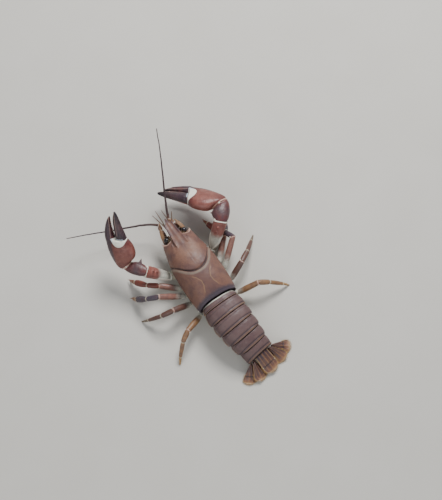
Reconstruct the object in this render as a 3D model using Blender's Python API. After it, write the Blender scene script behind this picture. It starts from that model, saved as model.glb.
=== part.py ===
"""Signal crayfish, life size: a still museum model of an adult about 12 cm long.

The animal faces +Y with +X to its right and +Z up, and stands on the plane z = 0.
Lengths below are in millimetres; MM turns them into Blender's metres when a mesh is made.
"""

import math

import bmesh
import bpy
from mathutils import Matrix, Vector

MM = 0.001
JOINT_GAP = 0.3  # clearance between two hard shells that meet at a joint

# Head and thorax shield, rear to front: y, half width, top, height of its widest line
CARAPACE_OUTLINE = (
    (0.0, 13.6, 24.2, 14.6),
    (4.0, 14.7, 26.6, 14.2),
    (10.0, 15.0, 28.8, 13.8),
    (18.0, 14.2, 29.5, 13.6),
    (26.0, 12.7, 29.2, 13.8),
    (34.0, 12.0, 27.6, 14.4),
    (41.0, 11.2, 25.0, 15.2),
    (45.4, 10.4, 22.8, 15.8),
    (46.5, 9.2, 21.4, 15.8),
)
CARAPACE_STATIONS = (
    0.0, 0.9, 3.0, 6.5, 10.5, 14.0, 17.0, 18.5, 19.5, 20.5, 23.0, 27.0, 31.0, 35.0, 39.0, 42.5, 45.4, 46.5
)
UPPER_STEPS, FLANK_STEPS, FLOOR_STEPS = 8, 3, 2  # points from the back's middle to the belly's middle
SHELL_ROUNDNESS = 2.25  # 2 is an ellipse, more is squarer
TUCK = 0.78  # half width of the lower edge against the widest line
CARAPACE_FLOOR = 8.5  # level of the cut between the carapace and the underside
REAR_LIP = 0.94  # the flat rear face against the rear edge, which hangs back past it at the sides
GROOVE_AT = 19.5  # y of the cervical groove on the midline
GROOVE_SWEEP = 12.0  # how far the groove runs forward by the widest line
GROOVE_LOWER_SWEEP = 3.0  # and from there to the lower edge
GROOVE_DEPTH = 0.9
# How closely a ring of the carapace at y follows the groove's curve
CARAPACE_BEND = (
    (0.0, -0.16), (8.0, 0.25), (15.0, 0.9), (19.5, 1.0), (26.0, 0.85), (36.0, 0.35), (46.5, 0.0)
)

# Rostrum: y, half width, height of its upper face
ROSTRUM_OUTLINE = (
    (37.0, 4.2, 25.6),
    (41.0, 4.4, 25.7),
    (45.5, 3.9, 24.3),
    (50.0, 3.5, 22.9),
    (54.0, 3.2, 22.0),
    (55.6, 2.9, 21.8),
    (56.4, 1.5, 21.7),
    (58.4, 0.9, 21.7),
    (60.0, 0.3, 22.0),
)

# Thorns and ridges of the carapace, on both sides: root, tip and root radius
CARAPACE_THORNS = (
    ((2.6, 53.2, 21.6), (3.1, 57.0, 22.0), 0.8),
    ((6.3, 35.4, 24.3), (5.8, 43.4, 23.8), 1.3),
    ((7.6, 28.6, 24.9), (7.5, 33.2, 25.1), 1.4),
    ((9.0, 42.4, 17.6), (10.2, 48.0, 17.6), 1.6),
)

# Keel between the legs: y, half width, height of its lower face
UNDERSIDE_OUTLINE = (
    (1.2, 7.0, 4.6),
    (3.0, 8.0, 3.9),
    (14.0, 8.0, 3.5),
    (24.0, 8.0, 3.5),
    (31.8, 8.0, 3.6),
    (35.5, 7.2, 4.4),
    (40.0, 6.4, 5.2),
    (45.6, 5.4, 6.4),
)

HEAD_FACE = 46.5  # y of the flat face that carries the feelers
EYE_CENTRE = Vector((6.5, 47.4, 20.0))
EYE_RADIUS = 2.0
SOCKET_RADIUS = 3.1
EYE_STALK = (-0.72, -0.62, -0.3)  # towards the socket's floor
STALK_RADIUS = 1.5
STALK_REACH = 2.25

CLAW_SCALE = {1: 1.0, -1: 0.9}  # the left claw is the smaller one
FINGER_CUT = Vector((21.8, 0.0, 0.0))  # a point of the joint of the moving finger
FINGER_CUT_NORMAL = Vector((0.996, 0.087, 0.0)).normalized()
CROTCH = -3.7  # how far across the palm that joint reaches
TOOTH_PLACES = {"palm": (-5.05, (26.2, 29.6)), "finger": (-2.85, (24.4, 27.9))}  # across, and along
TOOTH_RADIUS = 0.85
WRIST_REACH = 8.0  # length over which the palm's rings lean to the wrist's plane
CUTTER_REACH = 30.0

# Edges of the palm and the fixed finger: distance from the wrist, outer edge, inner edge, thickness
PALM_OUTLINE = (
    (0.0, -3.4, 3.0, 5.8),
    (1.2, -5.4, 4.8, 7.4),
    (3.5, -7.5, 6.8, 8.8),
    (7.0, -9.4, 8.1, 9.8),
    (11.0, -10.7, 8.6, 10.2),
    (15.0, -11.2, 8.2, 10.0),
    (18.5, -11.4, 6.8, 9.4),
    (21.0, -11.4, 5.0, 8.6),
    (22.6, -11.4, -4.0, 7.8),
    (26.0, -11.1, -4.7, 6.8),
    (30.0, -10.2, -5.0, 5.7),
    (34.0, -8.8, -5.0, 4.6),
    (37.0, -7.2, -4.7, 3.4),
    (39.2, -5.5, -4.6, 1.4),
)
PALM_STATIONS = (0.0, 1.2, 3.5, 7.0, 11.0, 15.0, 18.5, 21.0, 22.6, 25.0, 28.0, 31.0, 34.0, 37.0, 39.2)
# Edges of the moving finger, from inside the palm to its tip
FINGER_OUTLINE = (
    (16.0, -2.6, 4.6, 7.2),
    (19.0, -2.9, 4.5, 7.6),
    (22.0, -3.2, 4.2, 7.4),
    (27.0, -3.5, 3.1, 6.4),
    (31.0, -3.5, 2.4, 5.5),
    (36.0, -3.1, 1.7, 4.3),
    (40.0, -2.2, 0.9, 2.9),
    (42.6, -1.0, -0.1, 1.2),
)
FINGER_STATIONS = (16.0, 19.0, 22.0, 25.0, 28.0, 31.0, 34.5, 38.0, 40.6, 42.6)

# Abdomen: length, half width, height over the hinge line and side plate depth of each ring
ABDOMEN_RINGS = (
    (4.5, 11.5, 8.2, 3.4),
    (8.0, 13.1, 8.9, 8.4),
    (8.0, 13.3, 8.9, 8.2),
    (7.8, 12.8, 8.4, 7.8),
    (7.6, 11.9, 7.6, 7.0),
    (8.5, 10.7, 6.4, 4.9),
)
ABDOMEN_DROP = (1.0, 3.0, 8.0, 13.0, 18.0, 22.0)  # downward pitch of each ring, degrees
ABDOMEN_TURN = (1.0, 3.0, 5.0, 7.0, 8.5, 9.5)  # turn to the animal's right, degrees
ABDOMEN_ROOT = Vector((0.0, -0.5, 14.9))  # hinge of its first ring, on the line between its sides
RING_STATIONS = (0.0, 0.14, 0.42, 0.7, 0.9, 1.0)
# Along a ring from front to rear: its size, and how far its side plate hangs down
RING_SWELL = ((0.0, 0.93), (0.16, 0.97), (0.5, 1.0), (0.88, 1.005), (1.0, 0.985))
PLATE_HANG = ((0.0, 0.55), (0.2, 0.82), (0.45, 1.0), (0.7, 0.97), (0.9, 0.74), (1.0, 0.6))
RING_STEPS = 6  # points over a quarter of a ring's back
RING_POWER = 0.92  # 1 is an ellipse, less is squarer
BELLY_SHARE = 0.5  # depth of the belly under the hinge line, against the back's height over it
END_TAPER = 1.0  # how much the last ring narrows behind
SWIMMERET_RINGS = (2, 3, 4, 5)

FAN_RISE = 5.2  # height of the fan's root over the floor
FAN_THICKNESS = 1.3
TELSON_LENGTH = 14.0
UROPOD_LENGTH = 14.4
FAN_PLACES = (0.0, 0.14, 0.3, 0.46, 0.6, 0.72, 0.82, 0.92, 1.0)
# Along a blade from root to tip: height over the floor against the root's, and width between its edges
FAN_SLOPE = ((0.0, 1.0), (0.3, 0.64), (0.6, 0.25), (0.8, 0.0), (1.0, 0.0))
FAN_ROUNDING = ((0.0, 1.0), (0.72, 0.97), (0.86, 0.82), (0.95, 0.52), (1.0, 0.2))
# A blade's cross-section: across, and height against its thickness
BLADE_PROFILE = (
    (-1.0, 0.25), (-0.72, 0.0), (0.0, 0.0), (0.72, 0.0), (1.0, 0.25),
    (0.94, 0.62), (0.55, 0.82), (0.0, 1.0), (-0.55, 0.82), (-0.94, 0.62),
)
# Edges of each blade: distance from the middle line at the root, and angle to it in degrees
TELSON_EDGES = ((-4.9, -5.0), (4.9, 5.0))
UROPOD_EDGES = {"inner": ((5.3, -4.0), (7.4, 36.0)), "outer": ((7.8, 24.0), (9.5, 68.0))}
# How far each edge is raised to clear the blade under it, against the blade's thickness
TELSON_LIFT = (1.0, 1.0)
UROPOD_LIFT = {"inner": (0.0, 1.0), "outer": (0.0, 0.0)}
BLADE_CLEARANCE = 0.4
FULL_LIFT_AT = 0.14  # share of its length by which a blade has its full sideways tilt

LIMB_ROUNDNESS = 2.3  # 2 is an ellipse, more is squarer

RIGHT, LEFT = 1, -1
UP = Vector((0.0, 0.0, 1.0))
FORWARD = Vector((0.0, 1.0, 0.0))
SIDES = {RIGHT: "R", LEFT: "L"}

# Joints of the claw-bearing arms: root, knee above the root, elbow, wrist and tip
ARM_JOINTS = {
    RIGHT: (
        Vector((8.15, 28.6, 4.9)),
        Vector((16.6, 30.4, 6.8)),
        Vector((28.6, 39.0, 22.5)),
        Vector((35.3, 48.4, 21.8)),
        Vector((6.4, 77.7, 14.0)),
    ),
    LEFT: (
        Vector((-8.15, 28.6, 4.9)),
        Vector((-16.6, 30.0, 6.8)),
        Vector((-28.2, 37.8, 20.5)),
        Vector((-35.8, 48.0, 18.0)),
        Vector((-25.8, 74.5, 43.0)),
    ),
}
CLAW_ROLL = {RIGHT: 40.0, LEFT: 25.0}  # inner edge of the claw raised, degrees
UPPER_ARM_GIRTH = {RIGHT: 1.0, LEFT: 0.88}
FOREARM_GIRTH = {RIGHT: 1.0, LEFT: 0.74}

# Joints of each walking leg: root, hip, knee, ankle, end of the foot piece and tip
LEG_JOINTS = {
    (2, RIGHT): (
        (8.15, 20.8, 5.4), (14.0, 19.6, 5.8), (27.2, 33.0, 6.4),
        (25.2, 39.2, 5.6), (23.4, 46.4, 3.8), (22.6, 50.0, 0.0),
    ),
    (3, RIGHT): (
        (8.15, 15.0, 5.6), (14.2, 13.8, 6.4), (30.4, 27.7, 15.0),
        (28.6, 33.6, 11.8), (32.6, 40.4, 4.4), (33.6, 43.0, 0.0),
    ),
    (4, RIGHT): (
        (8.15, 9.6, 5.6), (13.8, 6.2, 6.4), (26.6, 11.4, 14.6),
        (33.6, 15.7, 11.4), (40.4, 21.2, 4.6), (44.1, 24.6, 0.0),
    ),
    (5, RIGHT): (
        (8.15, 4.3, 5.6), (13.6, -2.6, 6.2), (27.7, -5.5, 13.4),
        (34.0, -8.6, 10.6), (41.6, -13.2, 4.4), (45.2, -15.6, 0.0),
    ),
    (2, LEFT): (
        (-8.15, 20.8, 5.6), (-13.8, 18.6, 6.2), (-25.4, 28.0, 8.8),
        (-31.4, 32.4, 8.8), (-36.8, 39.6, 4.2), (-38.4, 42.6, 0.0),
    ),
    (3, LEFT): (
        (-8.15, 15.0, 5.6), (-14.2, 13.2, 6.4), (-30.0, 20.6, 15.8),
        (-36.6, 24.0, 13.4), (-42.0, 29.4, 4.6), (-43.4, 31.4, 0.0),
    ),
    (4, LEFT): (
        (-8.15, 9.6, 5.6), (-13.8, 7.4, 6.4), (-27.2, 8.6, 14.8),
        (-34.8, 10.2, 11.6), (-42.8, 13.8, 4.6), (-46.4, 16.2, 0.0),
    ),
    (5, LEFT): (
        (-8.15, 4.3, 5.6), (-13.2, -2.0, 6.2), (-26.4, -7.0, 13.0),
        (-32.2, -10.6, 10.4), (-38.6, -17.0, 4.4), (-41.2, -20.4, 0.0),
    ),
}
LEG_THICKNESS = 4.3
COXA_REACH = 1.8  # how far a leg's root stands straight out before the leg turns
LEG_NUMBERS = (2, 3, 4, 5)  # the claw-bearing leg is the first
PINCER_LEGS = (2, 3)

# Centre lines of the long feelers, from the end of their stout base
FEELER_ROOT_RADIUS = 0.85
FEELER_TIP_RADIUS = 0.27
FEELER_POINTS = 22
FEELER_ROUTES = {
    RIGHT: (
        (2.9, 60.4, 15.6), (4.6, 64.6, 17.2), (9.0, 74.0, 22.0),
        (15.0, 85.2, 27.4), (20.6, 96.4, 33.0), (25.6, 107.8, 38.6),
    ),
    LEFT: (
        (-5.2, 60.0, 15.4), (-9.4, 63.6, 15.2), (-21.2, 69.3, 14.2),
        (-32.0, 73.8, 14.2), (-45.0, 79.0, 16.0), (-58.4, 83.4, 19.6),
    ),
}

SMALL_FEELER_TIPS = {
    RIGHT: (Vector((1.2, 66.2, 21.0)), Vector((6.4, 62.0, 20.6))),
    LEFT: (Vector((-5.4, 66.4, 20.2)), Vector((-2.2, 67.6, 20.8))),
}

SHELL_BROWN = (0.245, 0.112, 0.062)
ABDOMEN_BROWN = (0.180, 0.092, 0.055)
CLAW_RED = (0.290, 0.078, 0.045)
FINGER_PURPLE = (0.120, 0.042, 0.040)
LEG_ORANGE = (0.360, 0.140, 0.085)
FEELER_BROWN = (0.110, 0.052, 0.032)
EYE_BLACK = (0.010, 0.009, 0.012)
PALE_SCALE = (0.460, 0.290, 0.140)


def clear_scene():
    """Removes every object of the startup scene."""
    for old in list(bpy.data.objects):
        bpy.data.objects.remove(old, do_unlink=True)


def finish(name, colour, roughness):
    """A shell's material: one colour, not metallic."""
    material = bpy.data.materials.new(name)
    material.use_nodes = True
    shader = material.node_tree.nodes["Principled BSDF"]
    shader.inputs["Base Color"].default_value = (*colour, 1.0)
    shader.inputs["Roughness"].default_value = roughness
    shader.inputs["Metallic"].default_value = 0.0
    return material


def smooth_through(stations):
    """A monotone cubic through (place, value) pairs, as a function of the place."""
    places = [float(s[0]) for s in stations]
    values = [float(s[1]) for s in stations]
    slopes = [(b - a) / (q - p) for a, b, p, q in zip(values, values[1:], places, places[1:])]
    tangents = [slopes[0]]
    for before, after in zip(slopes, slopes[1:]):
        tangents.append(2 * before * after / (before + after) if before * after > 0 else 0.0)
    tangents.append(slopes[-1])

    def value_at(place):
        place = min(max(place, places[0]), places[-1])
        i = max(k for k in range(len(places) - 1) if places[k] <= place or k == 0)
        span = places[i + 1] - places[i]
        t = (place - places[i]) / span
        keep = (1 + 2 * t) * (1 - t) ** 2
        take = t * t * (3 - 2 * t)
        bend = t * (1 - t) ** 2 * tangents[i] * span - t * t * (1 - t) * tangents[i + 1] * span
        return keep * values[i] + take * values[i + 1] + bend

    return value_at


def column(table, k):
    """The k-th size of a table of stations, as a smooth function of the first."""
    return smooth_through([(row[0], row[k]) for row in table])


def both_halves(half, last):
    """A closed ring from its right half, which starts on the midline, and its last midline point."""
    return list(half) + [last] + [(-x, y, z) for x, y, z in reversed(half[1:])]


def on_side(side, point):
    """A point given for the right side, or its mirror image for the left."""
    return Vector((side * point[0], point[1], point[2]))


def signed_power(value, power):
    """|value| ** power with the sign of value, which squares an ellipse up or draws it in."""
    return math.copysign(abs(value) ** power, value)


def body_from_rings(name, rings, material):
    """One closed body through rings of equal counts, with a flat cap at each end."""
    mesh = bmesh.new()
    loops = [[mesh.verts.new(Vector(point) * MM) for point in ring] for ring in rings]
    count = len(loops[0])
    for lower, upper in zip(loops, loops[1:]):
        for k in range(count):
            after = (k + 1) % count
            mesh.faces.new((lower[k], lower[after], upper[after], upper[k]))
    mesh.faces.new(loops[0])
    mesh.faces.new(loops[-1])
    return object_from(name, mesh, material)


def object_from(name, mesh, material):
    """Turns a closed bmesh into a scene object with its faces pointing out."""
    bmesh.ops.recalc_face_normals(mesh, faces=mesh.faces)
    data = bpy.data.meshes.new(name)
    mesh.to_mesh(data)
    mesh.free()
    data.materials.append(material)
    data.shade_smooth()
    data.set_sharp_from_angle(angle=math.radians(50))
    made = bpy.data.objects.new(name, data)
    bpy.context.scene.collection.objects.link(made)
    return made


def limb(name, centres, widths, material, depths=None, up=UP, start=None, end=None, sides=12):
    """A closed limb through its centres, as wide as widths and as deep as depths across up.

    start and end are the planes, as normals, in which the limb meets its neighbours. Its rings
    lean into those planes over the nearest part of the limb.
    """
    depths = depths or widths
    steps = [b - a for a, b in zip(centres, centres[1:])]
    travelled = [0.0]
    for step in steps:
        travelled.append(travelled[-1] + step.length)
    total = travelled[-1]
    rings = []
    for i, centre in enumerate(centres):
        before = steps[max(i - 1, 0)].normalized()
        after = steps[min(i, len(steps) - 1)].normalized()
        axis = (before + after).normalized()
        normal = axis.copy()
        for plane, distance, size in (
            (start, travelled[i], widths[0]),
            (end, total - travelled[i], widths[-1]),
        ):
            if plane is not None:
                share = max(0.0, 1 - distance / min(1.6 * size, 0.5 * total))
                normal = normal.lerp(plane, share).normalized()
        across = up.cross(axis).normalized()
        lift = axis.cross(across)
        ring = []
        for k in range(sides):
            angle = math.tau * k / sides
            point = centre + across * (widths[i] / 2 * signed_power(math.cos(angle), 2 / LIMB_ROUNDNESS))
            point += lift * (depths[i] / 2 * signed_power(math.sin(angle), 2 / LIMB_ROUNDNESS))
            ring.append(point + axis * ((centre - point).dot(normal) / axis.dot(normal)))
        rings.append(ring)
    return body_from_rings(name, rings, material)


def between(a, b, shares):
    """Points at these shares of the way from a to b."""
    return [a.lerp(b, share) for share in shares]


def mitre(before, joint, after):
    """Normal of the plane in which two limb pieces meet at a joint."""
    return ((joint - before).normalized() + (after - joint).normalized()).normalized()


def backed_off(joint, other, plane):
    """The joint, moved towards other so that half the joint gap is left before the plane."""
    axis = (other - joint).normalized()
    return joint + axis * (JOINT_GAP / 2 / abs(axis.dot(plane)))


def spine(name, root, tip, radius, material, tip_radius=0.12, sides=6):
    """A thorn with its root sunk in the shell that carries it."""
    axis = tip - root
    mesh = bmesh.new()
    bmesh.ops.create_cone(
        mesh,
        cap_ends=True,
        segments=sides,
        radius1=radius * MM,
        radius2=tip_radius * MM,
        depth=axis.length * MM,
    )
    turn = axis.to_track_quat("Z", "Y").to_matrix().to_4x4()
    middle = Matrix.Translation((root + tip) / 2 * MM)
    bmesh.ops.transform(mesh, matrix=middle @ turn, verts=mesh.verts)
    return object_from(name, mesh, material)


def ball(name, centre, radius, material, segments=8, rings=6):
    """A sphere."""
    mesh = bmesh.new()
    bmesh.ops.create_uvsphere(mesh, u_segments=segments, v_segments=rings, radius=radius * MM)
    bmesh.ops.translate(mesh, vec=centre * MM, verts=mesh.verts)
    return object_from(name, mesh, material)


def largest_body(obj):
    """Keeps the largest closed surface of the object's mesh."""
    mesh = bmesh.new()
    mesh.from_mesh(obj.data)
    unseen = set(mesh.verts)
    bodies = []
    while unseen:
        queue = [unseen.pop()]
        body = list(queue)
        while queue:
            for edge in queue.pop().link_edges:
                for vert in edge.verts:
                    if vert in unseen:
                        unseen.remove(vert)
                        queue.append(vert)
                        body.append(vert)
        bodies.append(body)
    bodies.sort(key=len)
    bmesh.ops.delete(mesh, geom=[v for body in bodies[:-1] for v in body], context="VERTS")
    mesh.to_mesh(obj.data)
    mesh.free()


def apply_modifiers(obj):
    """Replaces the object's mesh by the one that its modifiers make."""
    graph = bpy.context.evaluated_depsgraph_get()
    made = bpy.data.meshes.new_from_object(obj.evaluated_get(graph))
    obj.modifiers.clear()
    obj.data = made


def fuse(obj, pieces):
    """Joins the pieces to the object in one Boolean union, so that it stays one closed body."""
    group = bpy.data.collections.new(obj.name + "_pieces")
    bpy.context.scene.collection.children.link(group)
    for piece in pieces:
        bpy.context.scene.collection.objects.unlink(piece)
        group.objects.link(piece)
    union = obj.modifiers.new("union", "BOOLEAN")
    union.operation = "UNION"
    union.solver = "EXACT"
    union.operand_type = "COLLECTION"
    union.collection = group
    apply_modifiers(obj)
    for piece in pieces:
        bpy.data.objects.remove(piece, do_unlink=True)
    bpy.data.collections.remove(group)
    largest_body(obj)
    obj.data.shade_smooth()
    obj.data.set_sharp_from_angle(angle=math.radians(50))
    return obj


def cut(obj, cutter):
    """Cuts the cutter out of the object and removes the cutter."""
    difference = obj.modifiers.new("cut", "BOOLEAN")
    difference.operation = "DIFFERENCE"
    difference.solver = "EXACT"
    difference.object = cutter
    apply_modifiers(obj)
    bpy.data.objects.remove(cutter, do_unlink=True)
    largest_body(obj)
    obj.data.shade_smooth()
    obj.data.set_sharp_from_angle(angle=math.radians(50))
    return obj


def carapace_ring(y, groove_share):
    """One cross-section of the carapace, bent forward with the groove by groove_share."""
    half_width, top, widest = (column(CARAPACE_OUTLINE, k)(y) for k in (1, 2, 3))
    in_groove = max(0.0, 1 - abs(y - GROOVE_AT) / 0.9)
    tuck = TUCK * half_width
    side = []
    for k in range(UPPER_STEPS + 1):
        angle = math.radians(90) * k / UPPER_STEPS
        x = half_width * math.sin(angle) ** (2 / SHELL_ROUNDNESS)
        z = widest + (top - widest) * max(0.0, math.cos(angle)) ** (2 / SHELL_ROUNDNESS)
        side.append((x, z, GROOVE_SWEEP * math.sin(angle) ** 2, 1.0))
    for k in range(1, FLANK_STEPS + 1):
        share = k / FLANK_STEPS
        angle = math.radians(90) * share
        x = tuck + (half_width - tuck) * math.cos(angle)
        z = widest - (widest - CARAPACE_FLOOR) * math.sin(angle)
        side.append((x, z, GROOVE_SWEEP + GROOVE_LOWER_SWEEP * share, 1.0 - share))
    for k in range(1, FLOOR_STEPS):
        x = tuck * (1 - k / FLOOR_STEPS)
        side.append((x, CARAPACE_FLOOR, GROOVE_SWEEP + GROOVE_LOWER_SWEEP, 0.0))
    ring = []
    for x, z, sweep, groove in side:
        shrink = 1 - GROOVE_DEPTH * in_groove * groove / half_width
        centre = widest if z > widest else z
        ring.append((x * shrink, y + groove_share * sweep, centre + (z - centre) * shrink))
    return both_halves(ring, (0.0, ring[-1][1], CARAPACE_FLOOR))


def build_carapace(material):
    """The shield over head and thorax, with the groove, rostrum, ridges and eye sockets."""
    bend = smooth_through(CARAPACE_BEND)
    rings = [carapace_ring(y, bend(y)) for y in CARAPACE_STATIONS]
    hub = Vector((0.0, 0.0, CARAPACE_OUTLINE[0][3]))
    rings.insert(0, [hub + (Vector((x, 0.0, z)) - hub) * REAR_LIP for x, _, z in rings[0]])
    shield = body_from_rings("carapace", rings, material)
    pieces = [build_rostrum(material)]
    for side in (RIGHT, LEFT):
        for root, tip, radius in CARAPACE_THORNS:
            pieces.append(spine("thorn", on_side(side, root), on_side(side, tip), radius, material))
    fuse(shield, pieces)
    for side in (RIGHT, LEFT):
        cut(shield, ball("socket", on_side(side, EYE_CENTRE), SOCKET_RADIUS, material, 14, 9))
    return shield


def build_rostrum(material):
    """The beak between the eyes: parallel raised borders, a middle keel and a long point."""
    rings = []
    for y, half_width, height in ROSTRUM_OUTLINE:
        deep = 0.3 + 0.62 * half_width
        rim = min(0.55, 0.25 * half_width)
        half = (
            (0.0, 0.5 * rim),
            (0.28 * half_width, -0.2 * rim),
            (0.66 * half_width, 0.0),
            (0.86 * half_width, rim),
            (half_width, 0.5 * rim),
            (0.9 * half_width, -0.45 * deep),
            (0.45 * half_width, -0.85 * deep),
        )
        rings.append(both_halves([(x, y, height + z) for x, z in half], (0.0, y, height - deep)))
    return body_from_rings("rostrum", rings, material)


def build_underside(material):
    """The keel between the legs, under the carapace."""
    top = CARAPACE_FLOOR - JOINT_GAP
    rings = []
    for y, half_width, bottom in UNDERSIDE_OUTLINE:
        half = (
            (0.0, top),
            (0.6 * half_width, top),
            (half_width, top),
            (half_width, bottom + 1.0),
            (half_width - 0.9, bottom),
            (0.45 * half_width, bottom + 0.5),
        )
        rings.append(both_halves([(x, y, z) for x, z in half], (0.0, y, bottom + 0.1)))
    return body_from_rings("underside", rings, material)


def build_eye(side, material):
    """A round eye on a short stalk that stands in its socket."""
    centre = on_side(side, EYE_CENTRE)
    inward = on_side(side, EYE_STALK).normalized()
    eye = ball(f"eye_{SIDES[side]}", centre, EYE_RADIUS, material, 14, 9)
    foot = centre + inward * STALK_REACH
    stalk = spine("stalk", foot, centre, STALK_RADIUS, material, STALK_RADIUS, 10)
    return fuse(eye, [stalk])


def route_points(route, count):
    """Evenly spread points of a smooth curve through the route's own points."""
    places = [0.0]
    for a, b in zip(route, route[1:]):
        places.append(places[-1] + (Vector(b) - Vector(a)).length)
    along = [smooth_through(list(zip(places, [p[k] for p in route]))) for k in range(3)]
    return [Vector([f(places[-1] * i / (count - 1)) for f in along]) for i in range(count)]


def build_feeler_base(side, material):
    """The stout three-piece root of a long feeler."""
    root = Vector((side * 6.3, HEAD_FACE + JOINT_GAP, 12.6))
    first, second = route_points(FEELER_ROUTES[side], FEELER_POINTS)[:2]
    leave = (second - first).normalized()
    shares = (0.0, 0.1, 0.3, 0.37, 0.42, 0.6, 0.68, 0.73, 0.93, 1.0)
    centres = between(root, first - leave * JOINT_GAP, shares)
    widths = (4.6, 5.2, 4.9, 4.0, 4.1, 3.7, 3.1, 3.2, 2.8, 2.3)
    depths = [0.9 * w for w in widths]
    name = f"antenna_base_{SIDES[side]}"
    return limb(name, centres, widths, material, depths, start=FORWARD, end=leave, sides=10)


def build_feeler(side, material):
    """The long whip of a feeler, as a tapering tube."""
    data = bpy.data.curves.new(f"antenna_{SIDES[side]}", "CURVE")
    data.dimensions = "3D"
    data.bevel_depth = FEELER_ROOT_RADIUS * MM
    data.bevel_resolution = 2
    data.use_fill_caps = True
    points = route_points(FEELER_ROUTES[side], FEELER_POINTS)
    spline = data.splines.new("POLY")
    spline.points.add(len(points) - 1)
    for i, point in enumerate(points):
        share = i / (len(points) - 1)
        spline.points[i].co = (*(point * MM), 1.0)
        spline.points[i].radius = 1 - (1 - FEELER_TIP_RADIUS / FEELER_ROOT_RADIUS) * share**0.8
    data.materials.append(material)
    made = bpy.data.objects.new(data.name, data)
    bpy.context.scene.collection.objects.link(made)
    return made


def build_small_feeler(side, material):
    """A short inner feeler: one stem that ends in two fine whips."""
    root = Vector((side * 2.1, HEAD_FACE + JOINT_GAP, 15.4))
    knee = Vector((side * 2.0, 54.4, 17.2))
    centres = between(root, knee, (0.0, 0.3, 0.36, 0.7, 1.0))
    name = f"antennule_{SIDES[side]}"
    stem = limb(name, centres, (2.3, 2.4, 1.9, 1.8, 1.3), material, start=FORWARD, sides=8)
    whips = []
    for tip in SMALL_FEELER_TIPS[side]:
        middle = knee.lerp(tip, 0.5) + UP * 0.7
        start = knee - (middle - knee).normalized() * 1.2
        centres = [start, knee.lerp(middle, 0.4), middle, middle.lerp(tip, 0.5), tip]
        whips.append(limb("whip", centres, (0.95, 0.85, 0.75, 0.65, 0.5), material, sides=6))
    return fuse(stem, whips)


def build_scale(side, material):
    """The leaf-shaped scale outside each long feeler, with a sharp tip."""
    root = Vector((side * 8.0, HEAD_FACE + JOINT_GAP + 0.1, 16.2))
    tip = Vector((side * 5.6, 57.2, 18.2))
    centres = between(root, tip, (0.0, 0.2, 0.45, 0.7, 0.88, 1.0))
    widths = (1.5, 2.3, 2.8, 2.3, 1.3, 0.5)
    depths = (1.2, 1.1, 1.0, 0.9, 0.7, 0.5)
    lean = Vector((side * 0.35, 0.0, 1.0)).normalized()
    name = f"antennal_scale_{SIDES[side]}"
    return limb(name, centres, widths, material, depths, lean, start=FORWARD, sides=10)


def build_mouth_leg(side, material):
    """A third maxilliped: the leg-like jaw foot that folds under the head."""
    root = Vector((side * 3.3, 33.0, 2.9))
    knee = Vector((side * 3.5, 47.0, 3.9))
    tip = Vector((side * 2.6, 52.6, 7.4))
    centres = between(root, knee, (0.0, 0.3, 0.62, 0.9)) + between(knee, tip, (0.15, 0.5, 1.0))
    widths = (2.6, 3.9, 4.1, 3.4, 3.0, 2.4, 0.9)
    depths = (1.0, 1.5, 2.0, 2.4, 2.4, 2.0, 0.8)
    return limb(f"maxilliped_{SIDES[side]}", centres, widths, material, depths, sides=10)


def build_arm_hip(side, shell):
    """The short piece that joins a claw-bearing leg to the body."""
    root, hip, elbow, _, _ = ARM_JOINTS[side]
    outward = Vector((side, 0, 0))
    plane = mitre(root, hip, elbow)
    start, end = backed_off(root, hip, outward), backed_off(hip, root, plane)
    centres = between(start, end, (0.0, 0.3, 0.62, 0.85, 1.0))
    widths = (5.6, 6.2, 6.4, 6.0, 5.4)
    depths = (4.2, 4.3, 4.4, 4.6, 4.6)
    limb(f"claw_hip_{SIDES[side]}", centres, widths, shell, depths, start=outward, end=plane)


def build_upper_arm(side, shell):
    """The long piece between hip and elbow, which widens to the elbow and has two thorns on top."""
    root, hip, elbow, wrist, _ = ARM_JOINTS[side]
    at_hip, at_elbow = mitre(root, hip, elbow), mitre(hip, elbow, wrist)
    start, end = backed_off(hip, elbow, at_hip), backed_off(elbow, hip, at_elbow)
    centres = between(start, end, (0.0, 0.09, 0.28, 0.52, 0.76, 0.93, 1.0))
    widths = (5.4, 6.8, 7.8, 8.4, 8.8, 9.2, 8.4)
    widths = [UPPER_ARM_GIRTH[side] * w for w in widths]
    depths = [0.9 * w for w in widths]
    name = f"claw_merus_{SIDES[side]}"
    upper_arm = limb(name, centres, widths, shell, depths, start=at_hip, end=at_elbow, sides=14)
    along = (elbow - hip).normalized()
    top = along.cross(UP).normalized().cross(along).normalized()
    thorns = []
    for share in (0.68, 0.84):
        place = hip.lerp(elbow, share)
        thorns.append(spine("thorn", place + top * 3.2, place + top * 5.3 + along * 1.4, 1.3, shell))
    fuse(upper_arm, thorns)


def build_forearm(side, shell):
    """The stout piece between elbow and wrist, with a spur on its inner side."""
    _, hip, elbow, wrist, tip = ARM_JOINTS[side]
    at_elbow, at_wrist = mitre(hip, elbow, wrist), mitre(elbow, wrist, tip)
    start, end = backed_off(elbow, wrist, at_elbow), backed_off(wrist, elbow, at_wrist)
    centres = between(start, end, (0.0, 0.14, 0.38, 0.64, 0.88, 1.0))
    widths = (8.2, 10.2, 11.7, 11.8, 10.0, 7.4)
    widths = [FOREARM_GIRTH[side] * w for w in widths]
    depths = [0.8 * w for w in widths]
    name = f"claw_carpus_{SIDES[side]}"
    forearm = limb(name, centres, widths, shell, depths, start=at_elbow, end=at_wrist, sides=14)
    along = (wrist - elbow).normalized()
    inner = UP.cross(along).normalized() * side
    middle = elbow.lerp(wrist, 0.42)
    fuse(forearm, [spine("spur", middle + inner * 2.6, middle + inner * 7.3 + along * 0.4, 1.9, shell)])


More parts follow.
